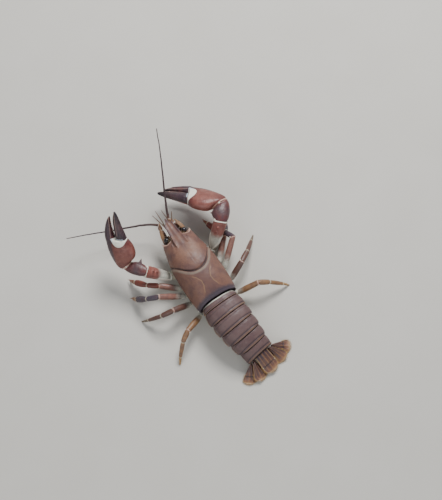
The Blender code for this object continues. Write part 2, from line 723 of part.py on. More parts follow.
def claw_frame(side):
    """Wrist, and the claw's directions: along it, to its inner edge, and out of its back."""
    _, _, _, wrist, tip = ARM_JOINTS[side]
    along = (tip - wrist).normalized()
    flat_inner = UP.cross(along).normalized() * side
    back = along.cross(flat_inner).normalized() * side
    roll = math.radians(CLAW_ROLL[side])
    inner = flat_inner * math.cos(roll) + back * math.sin(roll)
    return wrist, along, inner, (back * math.cos(roll) - flat_inner * math.sin(roll)).normalized()


def claw_body(name, outline, stations, side, shell, start_plane=None, sides=18):
    """A claw piece from its edges in the claw's own plane, set in place."""
    wrist, along, inner, back = claw_frame(side)
    size = CLAW_SCALE[side]
    outer_at, inner_at, thick_at = (column(outline, k) for k in (1, 2, 3))
    rings = []
    for place in stations:
        low, high, thick = outer_at(place) * size, inner_at(place) * size, thick_at(place) * size
        ring = []
        for k in range(sides):
            angle = math.tau * k / sides
            swing = signed_power(math.cos(angle), 2 / LIMB_ROUNDNESS)
            across = (low + high) / 2 + (high - low) / 2 * swing
            raised = thick / 2 * signed_power(math.sin(angle), 2 / LIMB_ROUNDNESS)
            point = wrist + along * place * size + inner * across + back * raised
            if start_plane is not None:
                share = max(0.0, 1 - place / WRIST_REACH)
                lean = along.lerp(start_plane, share).normalized()
                gap = share * JOINT_GAP / 2 / along.dot(start_plane)
                centre = wrist + along * (place * size + gap)
                point += along * ((centre - point).dot(lean) / along.dot(lean))
            ring.append(point)
        rings.append(ring)
    return body_from_rings(name, rings, shell)


def joint_cutter(side, shell):
    """A block over the moving finger's side of its slanted joint, down to the crotch."""
    wrist, along, inner, back = claw_frame(side)
    size = CLAW_SCALE[side]
    face = Vector((-FINGER_CUT_NORMAL.y, FINGER_CUT_NORMAL.x, 0.0))
    corner = FINGER_CUT - FINGER_CUT_NORMAL * (JOINT_GAP / 2)
    crotch = corner + face * ((CROTCH - corner.y) / face.y)
    corners = {
        (True, True): corner + (face + FINGER_CUT_NORMAL) * CUTTER_REACH,
        (True, False): crotch + Vector((CUTTER_REACH, 0.0, 0.0)),
        (False, True): corner + face * CUTTER_REACH,
        (False, False): crotch,
    }
    block = bmesh.new()
    bmesh.ops.create_cube(block, size=1.0)
    for vert in block.verts:
        local = corners[vert.co.x > 0, vert.co.y > 0]
        height = back * (CUTTER_REACH * vert.co.z)
        vert.co = (wrist + along * local.x * size + inner * local.y * size + height) * MM
    block.normal_update()
    return object_from("joint_cutter", block, shell)


def cut_off_root(finger, side):
    """Ends the moving finger in the slanted plane of its joint."""
    wrist, along, inner, _ = claw_frame(side)
    place = FINGER_CUT + FINGER_CUT_NORMAL * (JOINT_GAP / 2)
    normal = along * FINGER_CUT_NORMAL.x + inner * FINGER_CUT_NORMAL.y
    mesh = bmesh.new()
    mesh.from_mesh(finger.data)
    cut_loop = bmesh.ops.bisect_plane(
        mesh,
        geom=mesh.verts[:] + mesh.edges[:] + mesh.faces[:],
        plane_co=(wrist + (along * place.x + inner * place.y) * CLAW_SCALE[side]) * MM,
        plane_no=normal,
        clear_inner=True,
    )["geom_cut"]
    edges = [piece for piece in cut_loop if isinstance(piece, bmesh.types.BMEdge)]
    bmesh.ops.contextual_create(mesh, geom=edges)
    bmesh.ops.recalc_face_normals(mesh, faces=mesh.faces)
    mesh.to_mesh(finger.data)
    mesh.free()


def build_claw(side, shell, finger_shell):
    """Palm with its fixed finger, and the moving finger, with blunt teeth on their cutting edges."""
    letter = SIDES[side]
    _, _, elbow, wrist, tip = ARM_JOINTS[side]
    plane = mitre(elbow, wrist, tip)
    palm = claw_body(f"claw_palm_{letter}", PALM_OUTLINE, PALM_STATIONS, side, shell, plane)
    cut(palm, joint_cutter(side, shell))
    name = f"claw_finger_{letter}"
    finger = claw_body(name, FINGER_OUTLINE, FINGER_STATIONS, side, finger_shell, sides=14)
    cut_off_root(finger, side)
    wrist, along, inner, _ = claw_frame(side)
    size = CLAW_SCALE[side]
    for piece, (edge, places) in ((palm, TOOTH_PLACES["palm"]), (finger, TOOTH_PLACES["finger"])):
        teeth = []
        for place in places:
            centre = wrist + (along * place + inner * edge) * size
            teeth.append(ball("tooth", centre, TOOTH_RADIUS * size, piece.data.materials[0], 8, 5))
        fuse(piece, teeth)


def build_leg(number, side, shell):
    """A walking leg in two pieces that meet at the knee, with a flat tip on the floor."""
    root, hip, knee, ankle, heel, tip = (Vector(p) for p in LEG_JOINTS[(number, side)])
    letter = SIDES[side]
    outward = Vector((side, 0, 0))
    at_knee = mitre(hip, knee, ankle)
    hub = root + outward * COXA_REACH
    centres = [root + outward * JOINT_GAP / 2, hub] + between(hub, hip, (0.5, 0.88))
    centres += between(hip, backed_off(knee, hip, at_knee), (0.06, 0.22, 0.5, 0.8, 0.94, 1.0))
    widths = [LEG_THICKNESS * s for s in (0.95, 1.0, 0.86, 0.72, 0.76, 0.95, 1.0, 0.94, 0.9, 0.8)]
    depths = [w * s for w, s in zip(widths, (0.9, 0.9, 0.95, 1.0, 1.0, 1.0, 1.05, 1.05, 1.0, 1.0))]
    name = f"leg{number}_upper_{letter}"
    limb(name, centres, widths, shell, depths, start=outward, end=at_knee, sides=10)

    pincer = number in PINCER_LEGS
    centres = between(backed_off(knee, ankle, at_knee), ankle, (0.0, 0.2, 0.6, 0.86))
    if pincer:
        centres += between(ankle, heel, (0.08, 0.35, 0.7, 1.0)) + between(heel, tip, (0.45, 1.0))
        shares = (0.78, 0.88, 0.9, 0.76, 0.7, 1.02, 1.06, 0.7, 0.4, 0.2)
    else:
        centres += between(ankle, heel, (0.08, 0.35, 0.75, 0.96)) + between(heel, tip, (0.08, 0.5, 1.0))
        shares = (0.78, 0.88, 0.9, 0.76, 0.66, 0.74, 0.62, 0.48, 0.46, 0.36, 0.2)
    widths = [LEG_THICKNESS * s for s in shares]
    depths = [0.92 * w for w in widths]
    name = f"leg{number}_lower_{letter}"
    lower = limb(name, centres, widths, shell, depths, start=at_knee, end=-UP, sides=10)
    if pincer:
        fuse(lower, [small_finger(ankle, heel, tip, shell)])


def small_finger(ankle, heel, tip, shell):
    """The moving finger of a leg's small pincer, rooted in the hand and ending clear of the floor."""
    along = (heel - ankle).normalized()
    across = (tip - heel).cross(UP).cross(tip - heel).normalized()
    start = ankle.lerp(heel, 0.62) + across * 0.9
    end = tip + across * 1.5
    end.z = 1.5
    middle = start.lerp(end, 0.5) + across * 0.9
    centres = [start, start.lerp(middle, 0.6), middle, middle.lerp(end, 0.55), end]
    widths = (1.5, 1.45, 1.2, 0.85, 0.5)
    return limb("small_finger", centres, widths, shell, up=along.cross(across), sides=8)


def abdomen_joints():
    """Hinge points of the abdomen from front to back, and the direction of each ring."""
    joints = [ABDOMEN_ROOT.copy()]
    ways = []
    for (length, _, _, _), drop, turn in zip(ABDOMEN_RINGS, ABDOMEN_DROP, ABDOMEN_TURN):
        pitch, yaw = math.radians(drop), math.radians(turn)
        level = Vector((math.sin(yaw), -math.cos(yaw), 0.0))
        ways.append(level * math.cos(pitch) - UP * math.sin(pitch))
        joints.append(joints[-1] + ways[-1] * length)
    return joints, ways


def ring_section(half_width, height, plate):
    """Right half of a ring's cross-section, from the middle of the back to the belly."""
    belly = BELLY_SHARE * height
    lobe = max(plate, belly + 0.3)
    points = []
    for k in range(RING_STEPS + 1):
        angle = math.radians(90) * k / RING_STEPS
        x = half_width * math.sin(angle) ** RING_POWER
        points.append((x, height * max(0.0, math.cos(angle)) ** RING_POWER))
    points += [
        (half_width, -0.55 * lobe),
        (half_width * 0.965, -0.88 * lobe),
        (half_width * 0.90, -lobe),
        (half_width * 0.85, -0.86 * lobe - 0.1 * belly),
        (half_width * 0.80, -0.98 * belly),
        (half_width * 0.42, -1.06 * belly),
    ]
    return points


def build_abdomen(shell):
    """Six ringed pieces of the abdomen, each with side plates and a pair of swimmerets below."""
    joints, ways = abdomen_joints()
    swell_at, hang_at = smooth_through(RING_SWELL), smooth_through(PLATE_HANG)
    last = len(ABDOMEN_RINGS) - 1
    for index, (length, half_width, height, plate) in enumerate(ABDOMEN_RINGS):
        way = ways[index]
        right = UP.cross(way).normalized()
        up = way.cross(right).normalized()
        front = (ways[max(index - 1, 0)] + way).normalized()
        rear = (way + ways[index + 1]).normalized() if index < last else level_of(way)
        start, end = joints[index] + way * JOINT_GAP / 2, joints[index + 1] - way * JOINT_GAP / 2
        following = ABDOMEN_RINGS[min(index + 1, last)]
        narrowing = 0.6 * (following[1] - half_width) - (END_TAPER if index == last else 0.0)
        lowering = 0.7 * (following[2] - height) - (END_TAPER if index == last else 0.0)
        rings = []
        for share in RING_STATIONS:
            wide = (half_width + narrowing * share) * swell_at(share)
            tall = (height + lowering * share) * swell_at(share)
            centre = start.lerp(end, share)
            if share < 0.4:
                lean = front.lerp(way, share / 0.4)
            else:
                lean = way.lerp(rear, (share - 0.4) / 0.6)
            half = [(x, 0.0, z) for x, z in ring_section(wide, tall, plate * hang_at(share))]
            ring = both_halves(half, (0.0, 0.0, -1.08 * BELLY_SHARE * tall))
            points = [centre + right * x + up * z for x, _, z in ring]
            rings.append([p + way * ((centre - p).dot(lean) / way.dot(lean)) for p in points])
        segment = body_from_rings(f"abdomen_{index + 1}", rings, shell)
        if index + 1 in SWIMMERET_RINGS:
            belly = start.lerp(end, 0.5) - up * (BELLY_SHARE * height)
            fuse(segment, swimmerets(belly, way, right, up, half_width, shell))


def level_of(way):
    """A direction turned level."""
    return Vector((way.x, way.y, 0.0)).normalized()


def swimmerets(belly, way, right, up, half_width, shell):
    """A pair of flat paddles that hang backwards from a ring's belly."""
    paddles = []
    for side in (RIGHT, LEFT):
        root = belly + right * (side * 0.46 * half_width) + up * 0.9
        tip = root + way * 3.6 - up * 4.6 + right * side * 0.8
        centres = between(root, tip, (0.0, 0.3, 0.6, 0.85, 1.0))
        widths = (1.5, 1.6, 2.4, 2.1, 0.9)
        depths = (1.3, 1.1, 0.9, 0.8, 0.6)
        paddles.append(limb("swimmeret", centres, widths, shell, depths, way + up, sides=8))
    return paddles


def fan_blade(name, root, heading, edges, lifts, reach, shell):
    """One blade of the tail fan: a thin leaf between two edges that slopes down towards the floor.

    Each edge is its distance from the middle line at the root and the angle at which it leaves.
    The lifts raise its edges so that neighbouring blades overlap like tiles.
    """
    back = level_of(heading)
    across = UP.cross(back).normalized()
    ground = Vector((root.x, root.y, 0.0))
    slope_at, rounding_at = smooth_through(FAN_SLOPE), smooth_through(FAN_ROUNDING)
    rings = []
    for place in FAN_PLACES:
        sides = []
        for offset, turn in edges:
            angle = math.radians(turn)
            run = reach * place
            beside = across * (offset + run * math.sin(angle))
            sides.append(ground + beside + back * (run * math.cos(angle)))
        middle = (sides[0] + sides[1]) / 2
        half = (sides[1] - sides[0]) / 2 * rounding_at(place)
        base = FAN_RISE * slope_at(place)
        thick = FAN_THICKNESS * (1.6 - 0.8 * place)
        tilt = (lifts[1] - lifts[0]) / 2 * min(1.0, place / FULL_LIFT_AT)
        level = min(lifts) + abs(tilt)
        step = thick + BLADE_CLEARANCE
        ring = []
        for x, z in BLADE_PROFILE:
            raised = base + thick * z + step * (level + tilt * x)
            ring.append(middle + half * x + UP * raised)
        rings.append(ring)
    return body_from_rings(name, rings, shell)


def build_tail_fan(shell):
    """The telson and, on each side of it, an inner and an outer blade."""
    joints, ways = abdomen_joints()
    root = joints[-1] + ways[-1] * (JOINT_GAP / 2 + 0.1)
    fan_blade("telson", root, ways[-1], TELSON_EDGES, TELSON_LIFT, TELSON_LENGTH, shell)
    for side in (RIGHT, LEFT):
        for name, edges in UROPOD_EDGES.items():
            mirrored = [(side * offset, side * turn) for offset, turn in edges]
            blade = f"uropod_{name}_{SIDES[side]}"
            fan_blade(blade, root, ways[-1], mirrored, UROPOD_LIFT[name], UROPOD_LENGTH, shell)


def stand_on_footprint():
    """Moves the whole animal so that the origin lies under the middle of its outline."""
    graph = bpy.context.evaluated_depsgraph_get()
    low, high = Vector((1e9,) * 3), Vector((-1e9,) * 3)
    parts = [o for o in bpy.context.scene.collection.objects if o.type in ("MESH", "CURVE")]
    for part in parts:
        shown = part.evaluated_get(graph)
        mesh = shown.to_mesh()
        for vert in mesh.vertices:
            point = shown.matrix_world @ vert.co
            low = Vector(map(min, low, point))
            high = Vector(map(max, high, point))
        shown.to_mesh_clear()
    animal = bpy.data.objects.new("signal_crayfish", None)
    bpy.context.scene.collection.objects.link(animal)
    animal.location = (-(low.x + high.x) / 2, -(low.y + high.y) / 2, -low.z)
    for part in parts:
        part.parent = animal


def gather_parts():
    """Puts the sub-parts in a collection named for the animal."""
    group = bpy.data.collections.new("Signal crayfish")
    bpy.context.scene.collection.children.link(group)
    for part in list(bpy.context.scene.collection.objects):
        bpy.context.scene.collection.objects.unlink(part)
        group.objects.link(part)


def main():
    """Builds the crayfish."""
    clear_scene()
    shell = finish("carapace shell", SHELL_BROWN, 0.45)
    ring_shell = finish("abdomen shell", ABDOMEN_BROWN, 0.5)
    claw_shell = finish("claw shell", CLAW_RED, 0.4)
    finger_shell = finish("finger shell", FINGER_PURPLE, 0.4)
    leg_shell = finish("leg shell", LEG_ORANGE, 0.45)
    whip = finish("feeler", FEELER_BROWN, 0.55)
    cornea = finish("eye", EYE_BLACK, 0.15)
    pale = finish("antennal scale", PALE_SCALE, 0.5)
    build_carapace(shell)
    build_underside(leg_shell)
    for side in (RIGHT, LEFT):
        build_eye(side, cornea)
        build_feeler_base(side, shell)
        build_feeler(side, whip)
        build_small_feeler(side, whip)
        build_scale(side, pale)
        build_mouth_leg(side, leg_shell)
        build_arm_hip(side, claw_shell)
        build_upper_arm(side, claw_shell)
        build_forearm(side, claw_shell)
        build_claw(side, claw_shell, finger_shell)
        for number in LEG_NUMBERS:
            build_leg(number, side, leg_shell)
    build_abdomen(ring_shell)
    build_tail_fan(ring_shell)
    stand_on_footprint()
    gather_parts()


main()
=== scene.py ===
"""Fine shells, finishes, floor, light and camera for a still, life-size signal crayfish.

Each hard piece starts as a copy of its plain solid, which is rounded, closed into an even skin,
carved with grooves and rims and marked by place, so that its finish follows the animal's own pattern.
Some marks are painted light rather than pattern: painted shade in the sunk grooves and seams, on the
claws' outer edges, on the upper arms' sides and on the third legs below the knee, and painted
highlights along the claws' ridges.
Places are given in the animal's millimetres: x to its right, y forward from the rear edge of the
carapace, z up from the floor.
"""

from __future__ import annotations

import logging
import math
import random
from dataclasses import dataclass, field, replace
from enum import Enum
from typing import ClassVar, Iterable, Sequence

import bpy
import numpy as np
from mathutils import Matrix, Vector
from mathutils.bvhtree import BVHTree


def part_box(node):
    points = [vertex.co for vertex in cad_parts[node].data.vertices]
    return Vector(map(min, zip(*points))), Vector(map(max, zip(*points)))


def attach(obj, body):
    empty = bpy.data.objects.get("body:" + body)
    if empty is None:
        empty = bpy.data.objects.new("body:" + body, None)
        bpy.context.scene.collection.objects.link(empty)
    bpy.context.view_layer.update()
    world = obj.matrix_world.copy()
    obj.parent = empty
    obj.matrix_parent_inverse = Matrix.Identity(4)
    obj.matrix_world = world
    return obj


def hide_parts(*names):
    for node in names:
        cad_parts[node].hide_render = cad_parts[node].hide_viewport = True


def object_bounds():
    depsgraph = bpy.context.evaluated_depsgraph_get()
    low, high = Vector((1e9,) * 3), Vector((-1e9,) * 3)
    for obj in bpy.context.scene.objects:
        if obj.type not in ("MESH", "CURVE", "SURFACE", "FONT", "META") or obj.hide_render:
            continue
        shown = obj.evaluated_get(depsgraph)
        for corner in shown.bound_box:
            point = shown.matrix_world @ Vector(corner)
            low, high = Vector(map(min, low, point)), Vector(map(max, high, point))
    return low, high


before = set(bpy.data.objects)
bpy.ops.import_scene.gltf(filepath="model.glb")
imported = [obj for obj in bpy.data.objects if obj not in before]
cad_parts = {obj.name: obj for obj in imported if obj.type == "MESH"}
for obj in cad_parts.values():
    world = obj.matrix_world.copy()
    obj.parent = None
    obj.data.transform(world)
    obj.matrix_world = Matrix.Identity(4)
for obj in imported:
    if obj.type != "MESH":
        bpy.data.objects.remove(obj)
CAD_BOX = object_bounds()

log = logging.getLogger("crayfish")

MM = 0.001
CARAPACE_LENGTH = 60.0
BODY = "root"
UP = Vector((0.0, 0.0, 1.0))

Colour = tuple[float, float, float]
Places = np.ndarray
Mask = np.ndarray


class Side(Enum):
    """A side of the animal, with the sign of its x."""

    RIGHT = 1
    LEFT = -1

    @property
    def letter(self) -> str:
        """Ending of the names of this side's nodes."""
        return "R" if self is Side.RIGHT else "L"

    def turn(self, place: Vector) -> Vector:
        """A place or direction on this side, from the one on the right."""
        return Vector((place.x * self.value, place.y, place.z))


class Slot(Enum):
    """Material slots of the record."""

    CARAPACE = "carapace_shell"
    ABDOMEN = "abdomen_shell"
    TAIL_FAN = "tail_fan_shell"
    UNDERSIDE = "underside_shell"
    CLAW = "claw_shell"
    FINGER = "claw_finger_shell"
    ARM = "arm_shell"
    LEG = "leg_shell"
    FEELER = "feeler"
    SCALE = "antennal_scale"
    EYE = "eye"


def tint(red: int, green: int, blue: int) -> Colour:
    """Linear colour from the three numbers of a screen colour.

    Args:
        red: Red, 0 to 255.
        green: Green, 0 to 255.
        blue: Blue, 0 to 255.

    Returns:
        The colour that a shader works with.
    """

    def linear(value: int) -> float:
        """Linear value of one screen number."""
        share = value / 255
        return share / 12.92 if share <= 0.04045 else ((share + 0.055) / 1.055) ** 2.4

    return linear(red), linear(green), linear(blue)


def rise(value: Places, low: float, high: float) -> Mask:
    """Smooth step.

    Args:
        value: Numbers to judge.
        low: Where the result leaves 0; it may be the larger of the two.
        high: Where the result reaches 1.

    Returns:
        Shares between 0 and 1.
    """
    share = np.clip((value - low) / (high - low), 0.0, 1.0)
    return share * share * (3 - 2 * share)


def stripe(value: Places, centre: float | Places, width: float) -> Mask:
    """Soft stripe.

    Args:
        value: Numbers to judge.
        centre: Where the stripe is strongest.
        width: Half its width, where it has fallen to about a third.

    Returns:
        Shares between 0 and 1.
    """
    return np.exp(-(((value - centre) / width) ** 2))


def frame_origin() -> Vector:
    """Row-frame place of the middle of the carapace's rear edge, on the floor."""
    low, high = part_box("carapace")
    return Vector(((low.x + high.x) / 2, high.y - CARAPACE_LENGTH * MM, 0.0))


ORIGIN = frame_origin()


def to_row(place: Vector) -> Vector:
    """Row-frame metres of a place in the animal's millimetres."""
    return ORIGIN + place * MM


def places_of(mesh: bpy.types.Mesh) -> Places:
    """Reads a mesh's vertices.

    Args:
        mesh: The mesh.

    Returns:
        Their places in the animal's millimetres.
    """
    flat = np.empty(len(mesh.vertices) * 3, dtype=np.float32)
    mesh.vertices.foreach_get("co", flat)
    return (flat.reshape(-1, 3) - np.array(ORIGIN)) / MM


def store(mesh: bpy.types.Mesh, masks: dict[str, Mask]) -> None:
    """Stores masks on the points of a mesh for the finish to read.

    Args:
        mesh: The mesh.
        masks: Shares for its vertices, by name.
    """
    for name, mask in masks.items():
        layer = mesh.attributes.new(name, "FLOAT", "POINT")
        layer.data.foreach_set("value", np.clip(mask, 0.0, 1.0).astype(np.float32))


class Solids:
    """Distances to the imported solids."""

    _trees: dict[str, BVHTree] = {}

    @classmethod
    def places(cls, node: str) -> Places:
        """Vertices of a node in the animal's millimetres."""
        return places_of(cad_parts[node].data)

    @classmethod
    def distance(cls, places: Places, node: str) -> Places:
        """How far places lie from a node's surface.

        Args:
            places: Places in the animal's millimetres.
            node: Name of the node.

        Returns:
            Distances in millimetres.
        """
        if node not in cls._trees:
            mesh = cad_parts[node].data
            mesh.calc_loop_triangles()
            corners = [tuple(place) for place in cls.places(node)]
            faces = [tuple(face.vertices) for face in mesh.loop_triangles]
            cls._trees[node] = BVHTree.FromPolygons(corners, faces)
        find = cls._trees[node].find_nearest
        return np.array([find(place)[3] for place in places.tolist()])

    @classmethod
    def contact(cls, node: str, neighbour: str, reach: float = 0.5) -> Places:
        """Vertices of a node that lie within reach of its neighbour."""
        places = cls.places(node)
        return places[cls.distance(places, neighbour) < reach]


class Bench:
    """Blender's own tools, used as by hand on one object at a time."""

    @staticmethod
    def take(obj: bpy.types.Object) -> bpy.types.Object:
        """Makes an object the only selected one, and the active one.

        Args:
            obj: The object.

        Returns:
            The same object.
        """
        bpy.ops.object.select_all(action="DESELECT")
        obj.select_set(True)
        bpy.context.view_layer.objects.active = obj
        return obj

    @staticmethod
    def modify(obj: bpy.types.Object, kind: str, **settings: object) -> None:
        """Adds a modifier, sets it and applies it.

        Args:
            obj: The object to change.
            kind: Blender's name of the modifier's kind.
            settings: Values of the modifier.
        """
        Bench.take(obj)
        bpy.ops.object.modifier_add(type=kind)
        modifier = obj.modifiers[-1]
        for name, value in settings.items():
            setattr(modifier, name, value)
        bpy.ops.object.modifier_apply(modifier=modifier.name)

    @staticmethod
    def new(name: str) -> bpy.types.Object:
        """Names the object that an operator has just added, and applies its place.

        Args:
            name: Name of the object and of its mesh.

        Returns:
            The object.
        """
        obj = bpy.context.active_object
        obj.name = obj.data.name = name
        bpy.ops.object.transform_apply(location=True, rotation=True, scale=True)
        return obj

    @staticmethod
    def select(obj: bpy.types.Object, faces: Iterable[int]) -> None:
        """Selects faces, and nothing else, in object mode.

        Args:
            obj: The object.
            faces: Numbers of the faces.
        """
        mesh = obj.data
        chosen = set(faces)
        mesh.vertices.foreach_set("select", [False] * len(mesh.vertices))
        mesh.edges.foreach_set("select", [False] * len(mesh.edges))
        mesh.polygons.foreach_set("select", [k in chosen for k in range(len(mesh.polygons))])

    @staticmethod
    def inset(obj: bpy.types.Object, faces: Iterable[int], thickness: float, depth: float) -> None:
        """Sets faces in from their common edge.

        Args:
            obj: The active object.
            faces: Numbers of the faces.
            thickness: How far in, in millimetres.
            depth: How far out, in millimetres; less than 0 presses them in.
        """
        Bench.select(obj, faces)
        bpy.ops.object.mode_set(mode="EDIT")
        bpy.ops.mesh.select_mode(type="FACE")
        bpy.ops.mesh.inset(thickness=thickness * MM, depth=depth * MM)
        bpy.ops.object.mode_set(mode="OBJECT")

    @staticmethod
    def join(parts: Sequence[bpy.types.Object], name: str) -> bpy.types.Object:
        """Joins objects into one mesh.

        Args:
            parts: The objects; the first one stays.
            name: Name of the result.

        Returns:
            The joined object.
        """
        bpy.ops.object.select_all(action="DESELECT")
        for part in parts:
            part.select_set(True)
        bpy.context.view_layer.objects.active = parts[0]
        if len(parts) > 1:
            bpy.ops.object.join()
        parts[0].name = parts[0].data.name = name
        return parts[0]


class Sculpt:
    """A fine piece grown from the plain solid of one node."""

    def __init__(self, node: str, voxel: float, passes: int = 5, crease: float = 0.6) -> None:
        """Copies the node's mesh, rounds it and gives it an even skin.

        Args:
            node: The node that the piece stands for.
            voxel: Size of the skin's faces, in millimetres.
            passes: How often the skin is smoothed.
            crease: How firmly the solid's sharp edges are kept while it is rounded.
        """
        self.node = node
        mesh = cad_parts[node].data.copy()
        mesh.materials.clear()
        self.obj = bpy.data.objects.new(f"fine_{node}", mesh)
        bpy.context.scene.collection.objects.link(self.obj)
        Bench.take(self.obj)
        bpy.ops.object.mode_set(mode="EDIT")
        bpy.ops.mesh.select_all(action="SELECT")
        bpy.ops.mesh.remove_doubles(threshold=0.004 * MM)
        bpy.ops.mesh.tris_convert_to_quads()
        bpy.ops.mesh.select_all(action="DESELECT")
        bpy.ops.mesh.select_mode(type="EDGE")
        bpy.ops.mesh.edges_select_sharp(sharpness=math.radians(48))
        bpy.ops.transform.edge_crease(value=crease)
        bpy.ops.object.mode_set(mode="OBJECT")
        Bench.modify(self.obj, "SUBSURF", levels=2, render_levels=2)
        Bench.modify(self.obj, "REMESH", mode="VOXEL", voxel_size=voxel * MM)
        Bench.modify(self.obj, "SMOOTH", factor=0.5, iterations=passes)
        self._read()

    def _read(self) -> None:
        """Reads the mesh's places and normals."""
        mesh = self.obj.data
        self.places: Places = places_of(mesh)
        flat = np.empty(len(mesh.vertices) * 3, dtype=np.float32)
        mesh.vertex_normals.foreach_get("vector", flat)
        self.normals: Places = flat.reshape(-1, 3)

    @property
    def x(self) -> Places:
        """Distance to the animal's right of its middle."""
        return self.places[:, 0]

    @property
    def y(self) -> Places:
        """Distance forward of the carapace's rear edge."""
        return self.places[:, 1]

    @property
    def z(self) -> Places:
        """Height over the floor."""
        return self.places[:, 2]

    def near(self, node: str, reach: float, clear: float = 0.3) -> Mask:
        """Mask that is 1 beside another node and falls to 0 at reach millimetres."""
        return rise(Solids.distance(self.places, node), reach, clear)

    def ends(self, neighbour: str) -> tuple[Vector, Vector]:
        """Middle of the end that meets a neighbour, and middle of the far end.

        Args:
            neighbour: The node that this one grows from.

        Returns:
            The root and the tip, in the animal's millimetres.
        """
        distance = Solids.distance(self.places, neighbour)
        root = self.places[distance < distance.min() + 0.6].mean(axis=0)
        away = np.linalg.norm(self.places - root, axis=1)
        tip = self.places[away > away.max() - 0.8].mean(axis=0)
        return Vector(root), Vector(tip)

    def along(self, root: Vector, tip: Vector) -> Places:
        """Share of the way from root to tip, for each place."""
        way = np.array(tip - root)
        return (self.places - np.array(root)) @ way / (way @ way)

    def girth(self, root: Vector, tip: Vector, bins: int = 30) -> Places:
        """Level distance from the line between root and tip, against the local half width.

        Args:
            root: Start of the line.
            tip: End of the line.
            bins: Number of stretches over which the half width is taken.

        Returns:
            Shares between -1 and 1.
        """
        along = self.along(root, tip)
        sideways = np.array((tip - root).cross(UP).normalized())
        offset = (self.places - np.array(root)) @ sideways
        numbers = np.clip((along * bins).astype(int), 0, bins - 1)
        lows, highs = np.zeros(bins), np.ones(bins)
        for number in np.unique(numbers):
            lows[number] = offset[numbers == number].min()
            highs[number] = offset[numbers == number].max()
        stations = (np.arange(bins) + 0.5) / bins
        low, high = np.interp(along, stations, lows), np.interp(along, stations, highs)
        return np.clip((2 * offset - high - low) / np.maximum(high - low, 0.1), -1, 1)

    def relief(self, mask: Mask, height: float) -> None:
        """Raises the skin where a mask says so.

        Args:
            mask: Share of the height for each place.
            height: Rise at 1, in millimetres; less than 0 sinks the skin.
        """
        group = self.obj.vertex_groups.new(name="relief")
        for index in np.flatnonzero(mask > 0.02).tolist():
            group.add([index], float(mask[index]), "REPLACE")
        Bench.modify(
            self.obj, "DISPLACE", vertex_group="relief", strength=height * MM, mid_level=0.0
        )
        self.obj.vertex_groups.clear()

    def grain(self, size: float, height: float) -> None:
        """Makes the skin uneven.

        Args:
            size: Width of the unevenness, in millimetres.
            height: Its height, in millimetres.
        """
        pattern = bpy.data.textures.new(f"grain_{self.node}", "CLOUDS")
        pattern.noise_scale = size * MM
        Bench.modify(
            self.obj, "DISPLACE", texture=pattern, texture_coords="LOCAL", strength=height * MM
        )

    def mark(self, **masks: Mask) -> None:
        """Stores masks on the mesh for the finish to read."""
        store(self.obj.data, masks)

    def dress(self, finish: "Finish", slot: Slot) -> bpy.types.Object:
        """Gives the piece its finish and puts it in the node's place.

        Args:
            finish: The look.
            slot: Material slot of the record.

        Returns:
            The finished object.
        """
        return settle(self.obj, finish, slot, self.node)


def keep_inside(mesh: bpy.types.Mesh) -> None:
    """Brings whatever has come out of the box of the solids back to its sides.

    Args:
        mesh: The mesh, in place.
    """
    flat = np.empty(len(mesh.vertices) * 3, dtype=np.float32)
    mesh.vertices.foreach_get("co", flat)
    low, high = (np.array(corner) for corner in CAD_BOX)
    mesh.vertices.foreach_set("co", np.clip(flat.reshape(-1, 3), low, high).astype(np.float32).ravel())
    mesh.update()


def settle(
    obj: bpy.types.Object, finish: "Finish", slot: Slot, *nodes: str, smooth: bool = True
) -> bpy.types.Object:
    """Gives a piece its finish, keeps it in its box and says what it rides on and stands for.

    Args:
        obj: The piece.
        finish: The look.
        slot: Not used.
        nodes: Names of the nodes that it replaces, if any.
        smooth: Whether its faces are shaded as one round surface.

    Returns:
        The piece.
    """
    Bench.take(obj)
    if smooth:
        bpy.ops.object.shade_smooth()
    obj.data.materials.append(finish.material())
    keep_inside(obj.data)
    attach(obj, BODY)
    if nodes:
        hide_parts(*nodes)
    log.info("%s: %d faces", obj.name, len(obj.data.polygons))
    return obj


